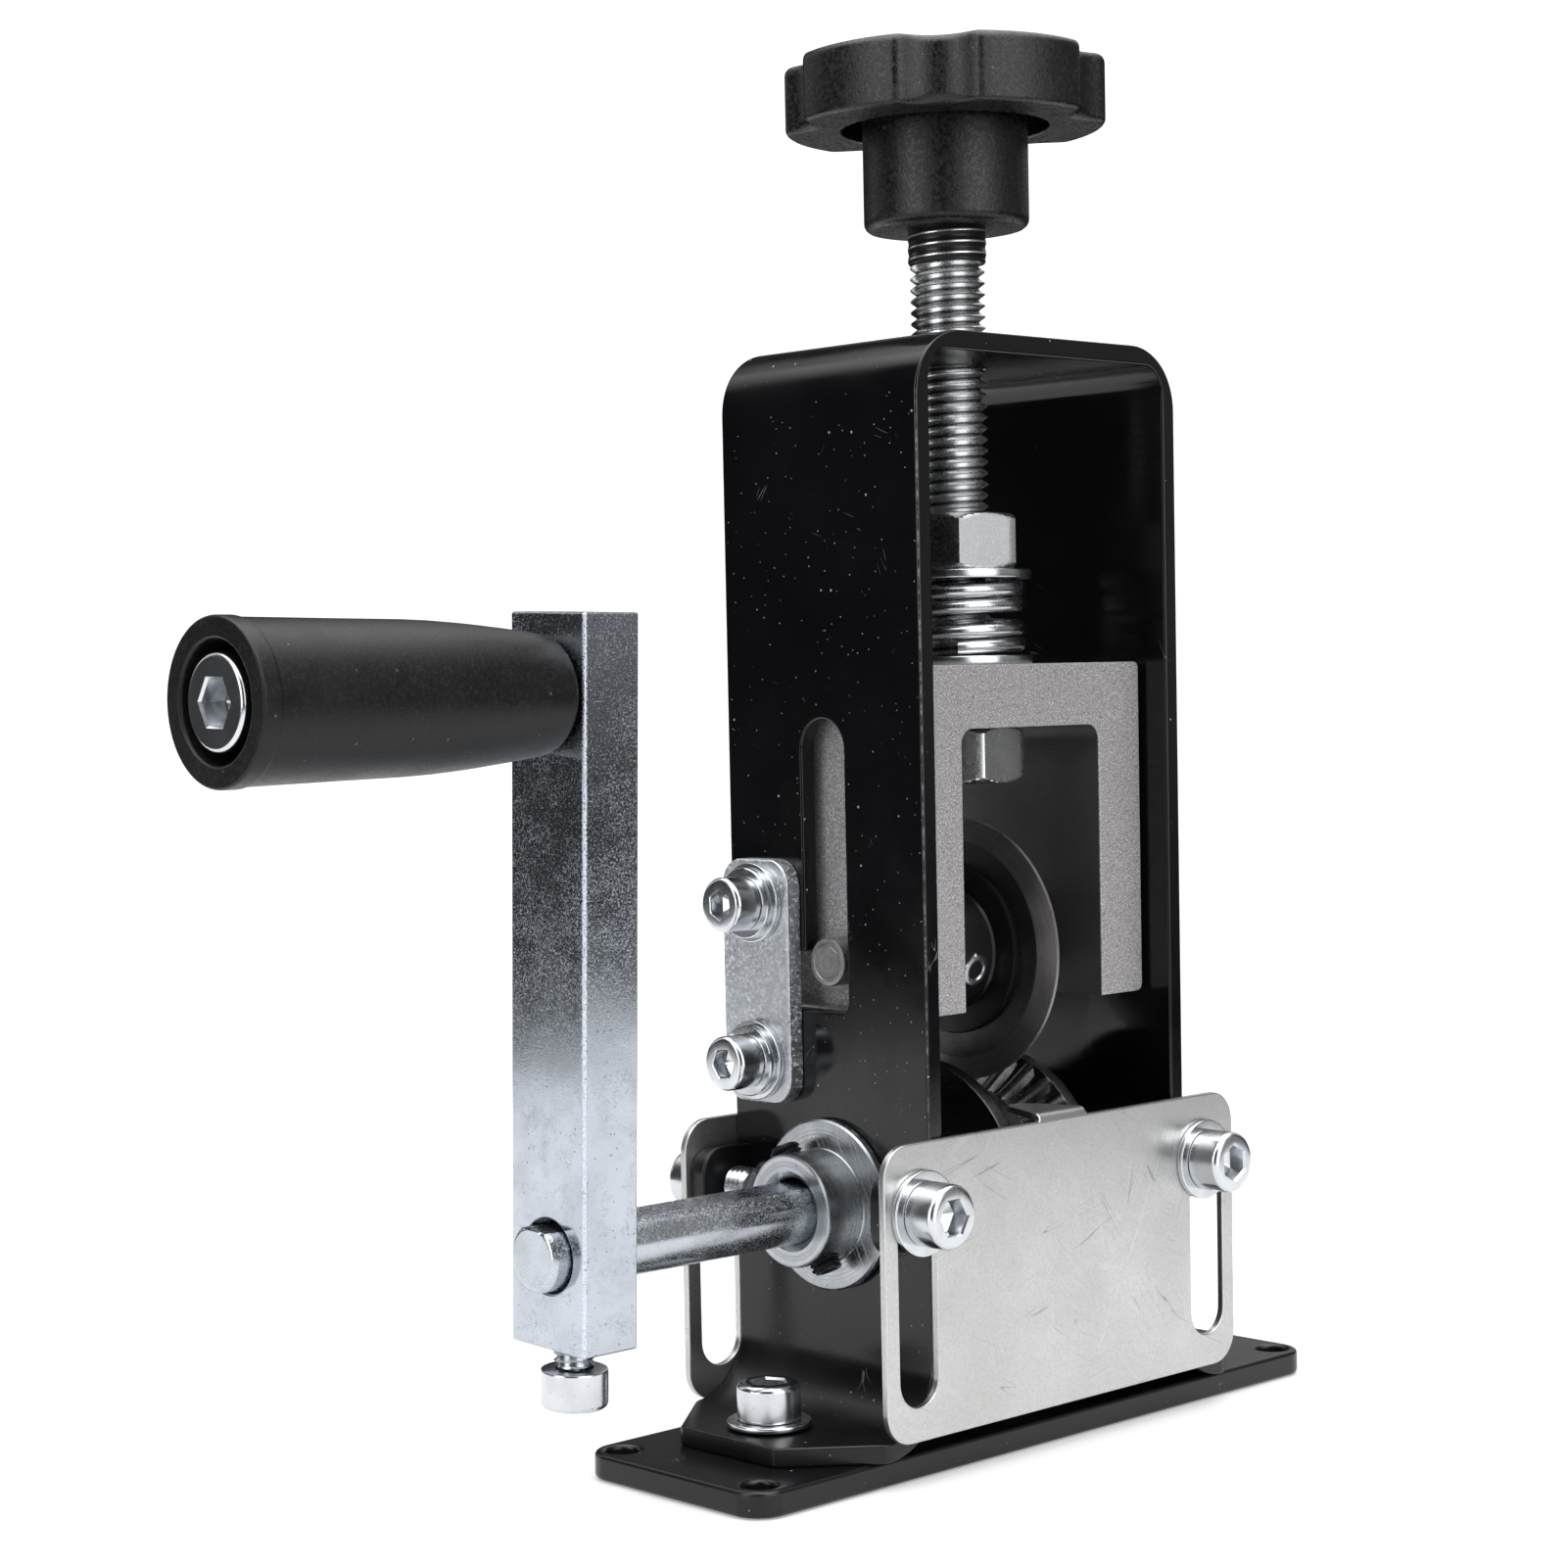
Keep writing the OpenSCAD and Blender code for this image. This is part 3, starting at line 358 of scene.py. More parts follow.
def blade_steel():
    """Hardened disc: fine rings, a lighter ground bevel and pits."""
    f = Finish("blade_steel", Metallic=1.0)
    r = f.radius()
    rings = f.noise(f.add("CombineXYZ", {"X": f.mul(r, 3.5), "Y": 0.0, "Z": 0.0}).outputs[0], 5.0, 0.6)
    cloud = f.noise(f.space(0.16), 6.0, 0.7, 0.5)
    pits = f.fit(f.noise(f.space(1.8), 3.0, 0.7), 0.58, 0.7)
    tone = f.mix(f.fit(cloud, *SPREAD), (0.115, 0.115, 0.112), (0.07, 0.07, 0.068))
    tone = f.mix(f.fit(r, 17.3, 17.5), tone, (0.30, 0.285, 0.285))
    tone = f.mix(f.mul(pits, 0.4), tone, (0.04, 0.04, 0.04))
    f.link("Base Color", f.mix(f.fit(rings, 0.35, 0.75, 0.0, 0.4), tone, (0.05, 0.05, 0.05)))
    f.link("Roughness", f.sum(f.fit(rings, 0.3, 0.7, 0.34, 0.46), f.fit(cloud, 0.3, 0.7, -0.03, 0.05)))
    f.bump(rings, 0.15, 0.02)


# The yoke's front face, the die mark's place on it, and how far the window's inner faces reach, in mm
YOKE_FACE = 16.2
MARK_X, MARK_Z = 20.0, 114.7
INSIDE_X, INSIDE_TOP = 16.15, 111.95
frame_paint()
plated("zinc_steel", (0.62, 0.64, 0.66), (0.19, 0.23), 0.10, 1.5)
plated("plate_zinc", (0.50, 0.52, 0.545), (0.34, 0.38), 0.9, 0.72)
plated("nut_zinc", (0.66, 0.67, 0.68), (0.24, 0.30), 0.2, 1.1)
plated("arm_zinc", (0.48, 0.515, 0.565), (0.12, 0.16), 0.60, 1.2, low=(0.052, 0.085), edge=13.0)
plated("thread_zinc", (0.80, 0.81, 0.82), (0.24, 0.30), 0.3, 1.2, root_shade=(4.9, 5.25))
plated("shaft_steel", (0.50, 0.53, 0.57), (0.20, 0.26), 0.6, 1.3)
turned("hub_steel", (0.44, 0.46, 0.48), (0.24, 0.30), 2.4, 0.10, streak=0.9)
turned("dull_steel", (0.26, 0.26, 0.26), (0.42, 0.5), 1.6, 0.6)
turned("roller_steel", (0.075, 0.075, 0.078), (0.26, 0.34), 2.5, 0.4)
guide_steel()
turned("dark_steel", (0.016, 0.016, 0.018), (0.3, 0.4), 2.5, 0.1, 0.6)
turned("collar_steel", (0.012, 0.012, 0.013), (0.28, 0.34), 2.5, 0.1, 0.3, crest=(6.172, 6.19))
blade_steel()
plated("spring_steel", (0.50, 0.51, 0.52), (0.16, 0.22), 0.2, 1.5)
yoke_metal()
plastic("knob_plastic", (0.28, 0.33), 1.0, 1.5, 0.4, 0.42)
plastic("grip_rubber", (0.38, 0.46), 0.35, 1.7, 0.35, 0.28)


# ---------------------------------------------------------------- mesh tools, in mm
def even_normals(mesh, sharp):
    """The mesh with smooth shading that keeps flats flat, and edges above the angle, if any, sharp."""
    mesh.shade_smooth()
    if sharp:
        mesh.set_sharp_from_angle(angle=radians(sharp))
    obj = bpy.data.objects.new("weigh", mesh)
    scene.collection.objects.link(obj)
    weigh = obj.modifiers.new("weigh", "WEIGHTED_NORMAL")
    weigh.weight = 100
    weigh.keep_sharp = bool(sharp)
    bpy.context.view_layer.update()
    ready = bpy.data.meshes.new_from_object(obj.evaluated_get(bpy.context.evaluated_depsgraph_get()))
    bpy.data.objects.remove(obj)
    return ready


def fill(verts, faces):
    """A bmesh of points and faces, without faces that have shrunk to a line or are there already."""
    bm = bmesh.new()
    points = [bm.verts.new(v) for v in verts]
    for f in faces:
        if len(set(f)) > 2:
            try:
                bm.faces.new([points[i] for i in f])
            except ValueError:
                pass
    return bm


def skin(name, bm, sharp):
    """The bmesh as a mesh with outward faces and even normals."""
    bmesh.ops.recalc_face_normals(bm, faces=bm.faces)
    mesh = bpy.data.meshes.new(name)
    bm.to_mesh(mesh)
    bm.free()
    return even_normals(mesh, sharp)


def piece(name, verts, faces, mat, body, place=None, nodes="", sharp=34):
    """An object from points and faces in mm."""
    bm = fill([Vector(v) * MM for v in verts], faces)
    return settle(name, skin(name, bm, sharp), mat, body, place, nodes)


def settle(name, mesh, mat, body, place, nodes):
    """An object placed by a matrix in mm, riding on a body.

    It stands for the CAD node called nodes, for the one of its own name if that is "", or for none."""
    nodes = name if nodes == "" else nodes
    obj = bpy.data.objects.new(name, mesh)
    scene.collection.objects.link(obj)
    mesh.name = name
    mesh.materials.append(MATS[mat])
    if place is not None:
        m = place.copy()
        m.translation *= MM
        obj.matrix_world = m
    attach(obj, body)
    if nodes:
        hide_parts(nodes)
    return obj


def polar(rings, n, closed=False, low=True):
    """Points and faces of rings round Z. A ring is (radius, z), either of them one number or a list of n.

    closed joins the last ring to the first; otherwise the last ring is capped, and the first too if low."""
    verts, faces = [], []
    for r, z in rings:
        for j in range(n):
            a = 2 * pi * j / n
            q = r[j] if isinstance(r, list) else r
            verts.append((q * cos(a), q * sin(a), z[j] if isinstance(z, list) else z))
    m = len(rings)
    for i in range(m if closed else m - 1):
        k = (i + 1) % m
        for j in range(n):
            nxt = (j + 1) % n
            faces.append((i * n + j, i * n + nxt, k * n + nxt, k * n + j))
    if not closed and low:
        faces.append(tuple(range(n - 1, -1, -1)))
    if not closed:
        faces.append(tuple(range((m - 1) * n, m * n)))
    return verts, faces


def hex_r(af, n, turn=0.0):
    """Radii of a hexagon, a flat's middle at the given turn."""
    return [af / 2 / cos(((2 * pi * j / n - radians(turn) + pi / 6) % (pi / 3)) - pi / 6) for j in range(n)]


def least(radii, r):
    return [min(q, r) for q in radii]


def tube(n, m):
    """Faces of a capped tube whose n + 1 sections have m points each."""
    faces = [(i * m + j, i * m + (j + 1) % m, (i + 1) * m + (j + 1) % m, (i + 1) * m + j)
             for i in range(n) for j in range(m)]
    return faces + [tuple(range(m)), tuple(range(n * m + m - 1, n * m - 1, -1))]


def join(*parts):
    """Several (points, faces) as one."""
    verts, faces = [], []
    for v, f in parts:
        k = len(verts)
        verts += v
        faces += [tuple(i + k for i in q) for q in f]
    return verts, faces


def thread(r, depth, pitch, z0, z1, n, steps, ends=0.5):
    """Outside thread as one helical skin; every point of a turn keeps its place on the thread."""
    shape = []
    for i in range(steps):
        t = i / steps
        q = abs(t - 0.5) * 2
        shape.append(r - depth * min(1, max(0, (1 - q) * 1.25 - 0.1)))
    core = r - depth - 0.1
    rows = math.ceil((z1 - z0) / pitch + 2) * steps
    verts, faces = [], []
    for i in range(rows + 1):
        for j in range(n):
            z = z0 - pitch + i * pitch / steps + pitch * j / n
            end = min(z - z0, z1 - z)
            q = shape[i % steps]
            if end < ends:
                q = min(q, core + max(0, end) * depth / ends)
            verts.append((q * cos(2 * pi * j / n), q * sin(2 * pi * j / n), min(z1, max(z0, z))))
    for i in range(rows):
        for j in range(n):
            if j < n - 1:
                f = (i * n + j, i * n + j + 1, (i + 1) * n + j + 1, (i + 1) * n + j)
            elif i + steps + 1 <= rows:
                f = (i * n + j, (i + steps) * n, (i + steps + 1) * n, (i + 1) * n + j)
            else:
                continue
            zs = [verts[k][2] for k in f]
            if max(zs) - min(zs) > 1e-6:
                faces.append(f)
    k = len(verts)
    for z in (z0, z1):
        for j in range(n):
            verts.append((core * cos(2 * pi * j / n), core * sin(2 * pi * j / n), z))
    faces.append(tuple(range(k + n - 1, k - 1, -1)))
    faces.append(tuple(range(k + n, k + 2 * n)))
    return verts, faces


def arc(cx, cy, r, a0, a1, steps):
    turns = [radians(a0 + (a1 - a0) * i / steps) for i in range(steps + 1)]
    return [(cx + r * cos(a), cy + r * sin(a)) for a in turns]


def rounded(x0, y0, x1, y1, r, steps):
    return (arc(x1 - r, y0 + r, r, -90, 0, steps) + arc(x1 - r, y1 - r, r, 0, 90, steps)
            + arc(x0 + r, y1 - r, r, 90, 180, steps) + arc(x0 + r, y0 + r, r, 180, 270, steps))


def circle(cx, cy, r, n=48):
    return [(cx + r * cos(2 * pi * i / n), cy + r * sin(2 * pi * i / n)) for i in range(n)]


def oblong(cx, y0, y1, w):
    """A slot's outline: straight sides and round ends."""
    r = w / 2
    return arc(cx, y1 - r, r, 0, 180, 14) + arc(cx, y0 + r, r, 180, 360, 14)


def slab(loops, t, edge, steps):
    """A plate in X and Y, t thick about Z = 0, with rounded edges: an outline, then holes."""
    out = []
    for k, loop in enumerate(loops):
        clean = [p for i, p in enumerate(loop) if math.dist(p, loop[i - 1]) > 1e-4]
        turn = sum(a[0] * b[1] - b[0] * a[1] for a, b in zip(clean, clean[1:] + clean[:1]))
        if (turn > 0) == (k > 0):
            clean.reverse()
        n = len(clean)
        normals = []
        for i in range(n):
            a, b, c = Vector(clean[i - 1]), Vector(clean[i]), Vector(clean[(i + 1) % n])
            u, v = (b - a).normalized(), (c - b).normalized()
            m = Vector((-u.y - v.y, u.x + v.x))
            if m.length < 1e-6:
                m = Vector((-u.y, u.x))
            m.normalize()
            m /= max(0.35, m.dot(Vector((-u.y, u.x))))
            normals.append(m)
        out.append((clean, normals))
    verts, faces, starts = [], [], []
    levels = []
    for i in range(steps + 1):
        q = radians(90 * i / steps)
        levels.append((edge * (1 - sin(q)), -t / 2 + edge * (1 - cos(q))))
    levels += [(o, -z) for o, z in reversed(levels)]
    for loop, normals in out:
        n, base = len(loop), len(verts)
        starts.append(base)
        for o, z in levels:
            verts += [(p[0] + m.x * o, p[1] + m.y * o, z) for p, m in zip(loop, normals)]
        for i in range(len(levels) - 1):
            for j in range(n):
                k = (j + 1) % n
                a, b = base + i * n, base + (i + 1) * n
                faces.append((a + j, a + k, b + k, b + j))
    for level in (0, len(levels) - 1):
        rings, index = [], []
        for (loop, _), start in zip(out, starts):
            n = len(loop)
            ids = range(start + level * n, start + (level + 1) * n)
            rings.append([Vector(verts[i]) for i in ids])
            index += ids
        faces += [tuple(index[i] for i in tri) for tri in tessellate_polygon(rings)]
    return verts, faces


def plate(name, loops, t, edge, mat, body, place=None, nodes="", bend=None, cuts=(), steps=3):
    """A slab as an object. cuts are places along Y where it is split, and bend maps a point in mm."""
    bm = fill(*slab(loops, t, edge, steps))
    for y in cuts:
        bmesh.ops.bisect_plane(bm, geom=bm.verts[:] + bm.edges[:] + bm.faces[:], dist=1e-5,
                               plane_co=(0, y, 0), plane_no=(0, 1, 0))
    for v in bm.verts:
        if bend:
            v.co = bend(*v.co)
        v.co *= MM
    return settle(name, skin(name, bm, 0), mat, body, place, nodes)


def spot(x, y, z, turn=None):
    m = Matrix.Translation((x, y, z))
    return m @ turn if turn is not None else m


def about(axis, angle):
    return Matrix.Rotation(radians(angle), 4, axis)


LEFT = about("Y", -90)    # local Z towards -X
RIGHT = about("Y", 90)    # local Z towards +X
FRONT = about("X", 90)    # local Z towards -Y
BACK = about("X", -90)    # local Z towards +Y

SIDES = ((-1, "left", LEFT), (1, "right", RIGHT))
CORNERS = ((-1, -1), (-1, 1), (1, -1), (1, 1))

# ---------------------------------------------------------------- sizes, in mm
BASE_L, BASE_W, BASE_T, HOLE_X, HOLE_Y = 130, 39, 4.0, 60.5, 15
FRAME_H, WALL, STRIP, EDGE_Y = 171.3, 30.0, 3.0, 21.0
# Radii of the strip's upper bends, outside and inside, and above its lower bends; foot's flat
BEND_R, BEND_IN, FOOT_R, FOOT_L = 10.0, 4.0, 10.0, 13.0
DRIVE_Z, BLADE_Z = 39.2, 76.5
SLOT_Z, SLOT_TOP, SLOT_R, CHANNEL = 68.5, 113.7, 4.5, 9.4
GUIDE_L, GUIDE_X, GUIDE_SCREW_X, GUIDE_SCREW_Z, GUIDE_T = 82, 34.1, 33.1, 40.7, 1.2
# The guide plates' tongue: middle, half width, its fold's height and middle radius, and length beyond
TONGUE_X, TONGUE_HALF, FOLD_Z, FOLD_R, TONGUE_L = -0.8, 5.45, 51.0, 0.9, 9.1
FOOT_X = 44.0
LINK_Y, LINK_Z, LINK_T, LINK_SCREW_Z = 12.55, 73.2, 3.0, 12.3
ARM_IN, ARM_OUT, SHAFT_END, SHAFT_R = 76.6, 86.6, 89.5, 5.0
CRANK_R, GRIP_IN, GRIP_L = 79.4, 87.0, 54.5
LEAN = spot(0, 0, DRIVE_Z, about("X", 2.2)) @ spot(0, 0, -DRIVE_Z)
HUB_OUT = 39.0
YOKE_TOP, WINDOW_TOP, YOKE_LOW = 121.6, 111.8, 68.5
SPRING_Z, SPRING_H = 123.0, 12.1
ROD_R, ROD_PITCH, NUT_H = 5.92, 1.75, 8.8
BLADE_BORE = 3.8
# Cap screws: thread, head across and high, socket across flats, pitch
M5, M6, M8 = (5, 8.5, 5, 4, 0.8), (6, 9.8, 5.7, 5, 1.0), (8, 13, 8, 6, 1.25)
# Thickness of the washers
LINK_WASHER, FOOT_WASHER, GUIDE_WASHER, SEAT_WASHER = 1.2, 0.9, 1.0, 1.4


def cap_screw(name, size, l, body, place, crown, nodes=""):
    """A socket cap screw, its head above Z = 0 with an edge rounded by crown, its shank l long below."""
    d, head_d, h, hexagon, pitch = size
    n = 60
    r = head_d / 2
    socket = hex_r(hexagon, n)
    rings = [(d / 2 - 0.2, -0.05), (r - 0.35, 0), (r - 0.1, 0.12), (r, 0.4)]
    rings += [(r - crown * (1 - cos(radians(a))), h - crown + crown * sin(radians(a)))
              for a in (0, 18, 36, 54, 72, 90)]
    rings += [([q * 1.1 for q in socket], h), (socket, h - 0.35), (socket, h * 0.48),
              ([q * 0.6 for q in socket], h * 0.40), (0.3, h * 0.33)]
    head = polar(rings, n, low=False)
    shank = thread(d / 2, 0.57 * pitch, pitch, -l, 0.0, n=24, steps=4)
    piece(name, *join(head, shank), "zinc_steel", body, place, nodes, sharp=32)


def washer(name, ro, ri, t, body, place, nodes="", e=0.18):
    rings = [(ri + e, 0), (ro - e, 0), (ro - e * 0.3, e * 0.3), (ro, e), (ro, t - e),
             (ro - e * 0.3, t - e * 0.3), (ro - e, t), (ri + e, t), (ri, t - e), (ri, e)]
    piece(name, *polar(rings, 72, closed=True), "zinc_steel", body, place, nodes, sharp=50)


def split_washer(name, ro, ri, t, body, place, nodes):
    """Spring washer: a cut ring whose ends stand a little apart."""
    verts, faces, n, e = [], [], 60, 0.15
    section = [(ri + e, 0), (ro - e, 0), (ro, e), (ro, t - e), (ro - e, t), (ri + e, t), (ri, t - e), (ri, e)]
    for i in range(n + 1):
        a = radians(5 + 350 * i / n)
        lift = 0.12 * (i / n - 0.5)
        verts += [(r * cos(a), r * sin(a), min(t, max(0, z + lift))) for r, z in section]
    piece(name, verts, tube(n, len(section)), "zinc_steel", body, place, nodes, sharp=40)


def hex_nut(name, place, turn):
    """An M12 nut, 19 mm across flats, chamfered at both ends."""
    n, af, h, bore = 96, 19, NUT_H, ROD_R + 0.03
    flats = hex_r(af, n, turn + 30)
    corner = af / math.sqrt(3)
    slope = 0.6
    rings = [(bore + 0.9, 0.0)]
    for z in (0.0, 0.15, 0.35, 0.6, 0.9, 1.2, h / 2, h - 1.2, h - 0.9, h - 0.6, h - 0.35, h - 0.15, h):
        cone = af / 2 - 0.1 + min(z, h - z) / slope
        rings.append((least(flats, min(corner - 0.08, cone)), z))
    rings += [(bore + 0.9, h), (bore, h - 0.8), (bore, 0.8)]
    piece(name, *polar(rings, n, closed=True), "nut_zinc", "screw", place, sharp=28)


# ---------------------------------------------------------------- base plate and frame
def base_plate():
    x, y = BASE_L / 2, BASE_W / 2
    loops = [rounded(-x, -y, x, y, 5, 10)]
    loops += [circle(i * HOLE_X, j * HOLE_Y, 2.6, 32) for i, j in CORNERS]
    plate("base_plate", loops, BASE_T, 0.7, "frame_paint", "frame", spot(0, 0, BASE_T / 2), steps=4)


# The strip's middle layer, and the places along it, from the top's middle, where its bends and the foot end
HALF = STRIP / 2
BEND_MID, FOOT_MID = BEND_R - HALF, FOOT_R + HALF
FOOT_Z = BASE_T + STRIP + FOOT_R
S1 = WALL - BEND_R
S2 = S1 + BEND_MID * pi / 2
S3 = S2 + (FRAME_H - BEND_R - FOOT_Z)
S4 = S3 + FOOT_MID * pi / 2
S5 = S4 + FOOT_L


def strip_bend(y, s, w):
    """Bends the flat strip: s along it from the top's middle, y across it, w towards its outside."""
    side = -1 if s < 0 else 1
    s = abs(s)
    if s <= S1:
        x, z = s, FRAME_H - HALF + w
    elif s <= S2:
        # The inner skin is two flats and an arc about a centre of its own, c from the bend's along X and Z
        a = (s - S1) / BEND_MID
        c = BEND_R - STRIP - BEND_IN
        k = c * (sin(a) + cos(a))
        low, high = sorted((sin(a), cos(a)))
        if low < c / (c + BEND_IN) * high:
            inner = (c + BEND_IN) / high
        else:
            inner = k + math.sqrt(k * k - 2 * c * c + BEND_IN * BEND_IN)
        r = BEND_R - (HALF - w) / STRIP * (BEND_R - inner)
        x, z = S1 + r * sin(a), FRAME_H - BEND_R + r * cos(a)
    elif s <= S3:
        x, z = WALL - HALF + w, FRAME_H - BEND_R - (s - S2)
    elif s <= S4:
        a = (s - S3) / FOOT_MID
        x, z = WALL + FOOT_R - (FOOT_MID - w) * cos(a), FOOT_Z - (FOOT_MID - w) * sin(a)
    else:
        x, z = WALL + FOOT_R + s - S4, BASE_T + HALF + w
    return Vector((side * x, y, z))


def frame_strip():
    def at(z):
        return S2 + FRAME_H - BEND_R - z

    def half(side):
        """The rear edge's notch and slot on one wall, from the top down, as (y, s)."""
        top, low, chan = at(SLOT_TOP) + SLOT_R, at(SLOT_Z + 0.5), at(SLOT_Z + CHANNEL)
        path = [(EDGE_Y, chan), (5.1, chan)] + arc(5.1, chan - 0.6, 0.6, 90, 180, 3)[1:]
        path += [(SLOT_R, top)] + arc(0, top, SLOT_R, 0, -180, 20)[1:]
        path += arc(-3.1, low - 1.4, 1.4, 180, 90, 6) + [(EDGE_Y, low)]
        path += [(EDGE_Y, S4 - 0.5), (20.6, S4 + 0.4), (10.6, S5 - 0.4), (9.6, S5)]
        return [(y, side * s) for y, s in path]

    front = [(-9.6, S5), (-10.6, S5 - 0.4), (-20.6, S4 + 0.4), (-EDGE_Y, S4 - 0.5)]
    outline = half(1) + front + [(y, -s) for y, s in reversed(front)] + half(-1)[::-1]
    loops = [outline, circle(0, 0, ROD_R + 0.08)]
    loops += [circle(0, side * at(DRIVE_Z), 7.06) for side in (-1, 1)]
    bends = ((S1, S2), (S3, S4))
    cuts = [side * (a + (b - a) * i / 16) for side in (-1, 1) for a, b in bends for i in range(17)]
    plate("frame_channel", loops, STRIP, 0.45, "frame_paint", "frame", bend=strip_bend, cuts=cuts)
    # Ears that carry the guide plates' screws, 12.5 high and with corners of 4
    ear = [(27.5, -6.25), (36, -6.25)] + arc(36, -2.25, 4, -90, 0, 8)[1:] + arc(36, 2.25, 4, 0, 90, 8)
    ear.append((27.5, 6.25))
    for i, (x, y) in enumerate(CORNERS):
        plate(f"frame_ear_{i}", [[(x * a, b) for a, b in ear]], STRIP - 0.02, 0.45, "frame_paint", "frame",
              spot(0, y * (EDGE_Y - HALF), GUIDE_SCREW_Z, FRONT), "frame_channel")


def link_set():
    loop = rounded(-7.25, -19, 7.25, 19, 4, 10)
    for side, name, turn in SIDES:
        # The plate's own X runs along Y and its own Y along Z
        flat = Matrix(((0, 0, side, 0), (side, 0, 0, 0), (0, 1, 0, 0), (0, 0, 0, 1)))
        plate(f"{name}_link_plate", [loop], LINK_T, 0.35, "plate_zinc", "frame",
              spot(side * (WALL + LINK_T / 2), LINK_Y, LINK_Z, flat))
        for i, z in enumerate((LINK_Z - LINK_SCREW_Z, LINK_Z + LINK_SCREW_Z)):
            def at(out, spin):
                return spot(side * (WALL + LINK_T + out), LINK_Y, z, turn @ about("Z", spin))

            washer(f"link_washer_{name}_{i}", 6.2, 2.7, LINK_WASHER, "frame", at(0, 0), "link_washers")
            split_washer(f"link_spring_washer_{name}_{i}", 5.5, 2.7, LINK_WASHER, "frame",
                         at(LINK_WASHER, 40 + 70 * i), "link_spring_washers")
            cap_screw(f"link_screw_{name}_{i}", M5, 8.1, "frame", at(2 * LINK_WASHER, 8 + 24 * i), 0.8,
                      "link_screws")


def foot_set():
    # A washer rests on the lower bend, 2.45 mm from the bend's axis
    lift = BASE_T + STRIP + (FOOT_R - math.sqrt(FOOT_R ** 2 - 2.45 ** 2)) + 0.02
    for side, name, _ in SIDES:
        x = side * FOOT_X
        washer(f"foot_washer_{name}", 6.45, 3.2, FOOT_WASHER, "frame", spot(x, 0, lift), "foot_washers")
        cap_screw(f"foot_screw_{name}", M6, 7.6, "frame", spot(x, 0, lift + FOOT_WASHER, about("Z", 25)), 0.9,
                  "foot_screws")


def guide_set():
    for side, name, turn in ((-1, "front", FRONT), (1, "rear", BACK)):
        y = side * (EDGE_Y + GUIDE_T)
        for (way, end, _), spin in zip(SIDES, (30, 2)):
            x, z = way * GUIDE_SCREW_X, GUIDE_SCREW_Z
            washer(f"guide_washer_{name}_{end}", 6.45, 3.2, GUIDE_WASHER, "frame", spot(x, y, z, turn),
                   "guide_washers")
            cap_screw(f"guide_screw_{name}_{end}", M6, 9.2, "frame",
                      spot(x, y + side * GUIDE_WASHER, z, turn @ about("Z", spin)), 1.1, "guide_screws")

        def bend(x, s, w, side=side):
            """Folds the tongue inwards; s is the height on the flat sheet, w towards its outside."""
            y, z = EDGE_Y + GUIDE_T / 2 + w, s
            if s > FOLD_Z and abs(x - TONGUE_X) < TONGUE_HALF + 0.15:
                y = EDGE_Y + GUIDE_T / 2 - FOLD_R
                a = (s - FOLD_Z) / FOLD_R
                if a < pi / 2:
                    y, z = y + (FOLD_R + w) * cos(a), FOLD_Z + (FOLD_R + w) * sin(a)
                else:
                    y, z = y - (s - FOLD_Z - fold), FOLD_Z + FOLD_R + w
            return Vector((x, side * y, z))

        low, top, r, fold = 6.5, 51.2, 5, FOLD_R * pi / 2
        tip = FOLD_Z + fold + TONGUE_L
        a, b = TONGUE_X - TONGUE_HALF, TONGUE_X + TONGUE_HALF
        loop = rounded(-GUIDE_L / 2, low, GUIDE_L / 2, top, r, 10)
        # The tongue comes after the two right corners
        loop[22:22] = [(b + 0.25, top), (b, top + 0.3), (b, top + 1.3), (0.9, tip - 0.5), (0.4, tip),
                       (-2.0, tip), (-2.5, tip - 0.5), (a, top + 1.3), (a, top + 0.3), (a - 0.25, top)]
        holes = [oblong(x * GUIDE_X, 11.7, 46.3, 8.2) for x in (-1, 1)]
        cuts = [FOLD_Z + fold * i / 8 for i in range(9)]
        plate(f"{name}_guide_plate", [loop] + holes, GUIDE_T, 0.2, "guide_steel", f"{name}_guide", bend=bend,
              cuts=cuts)


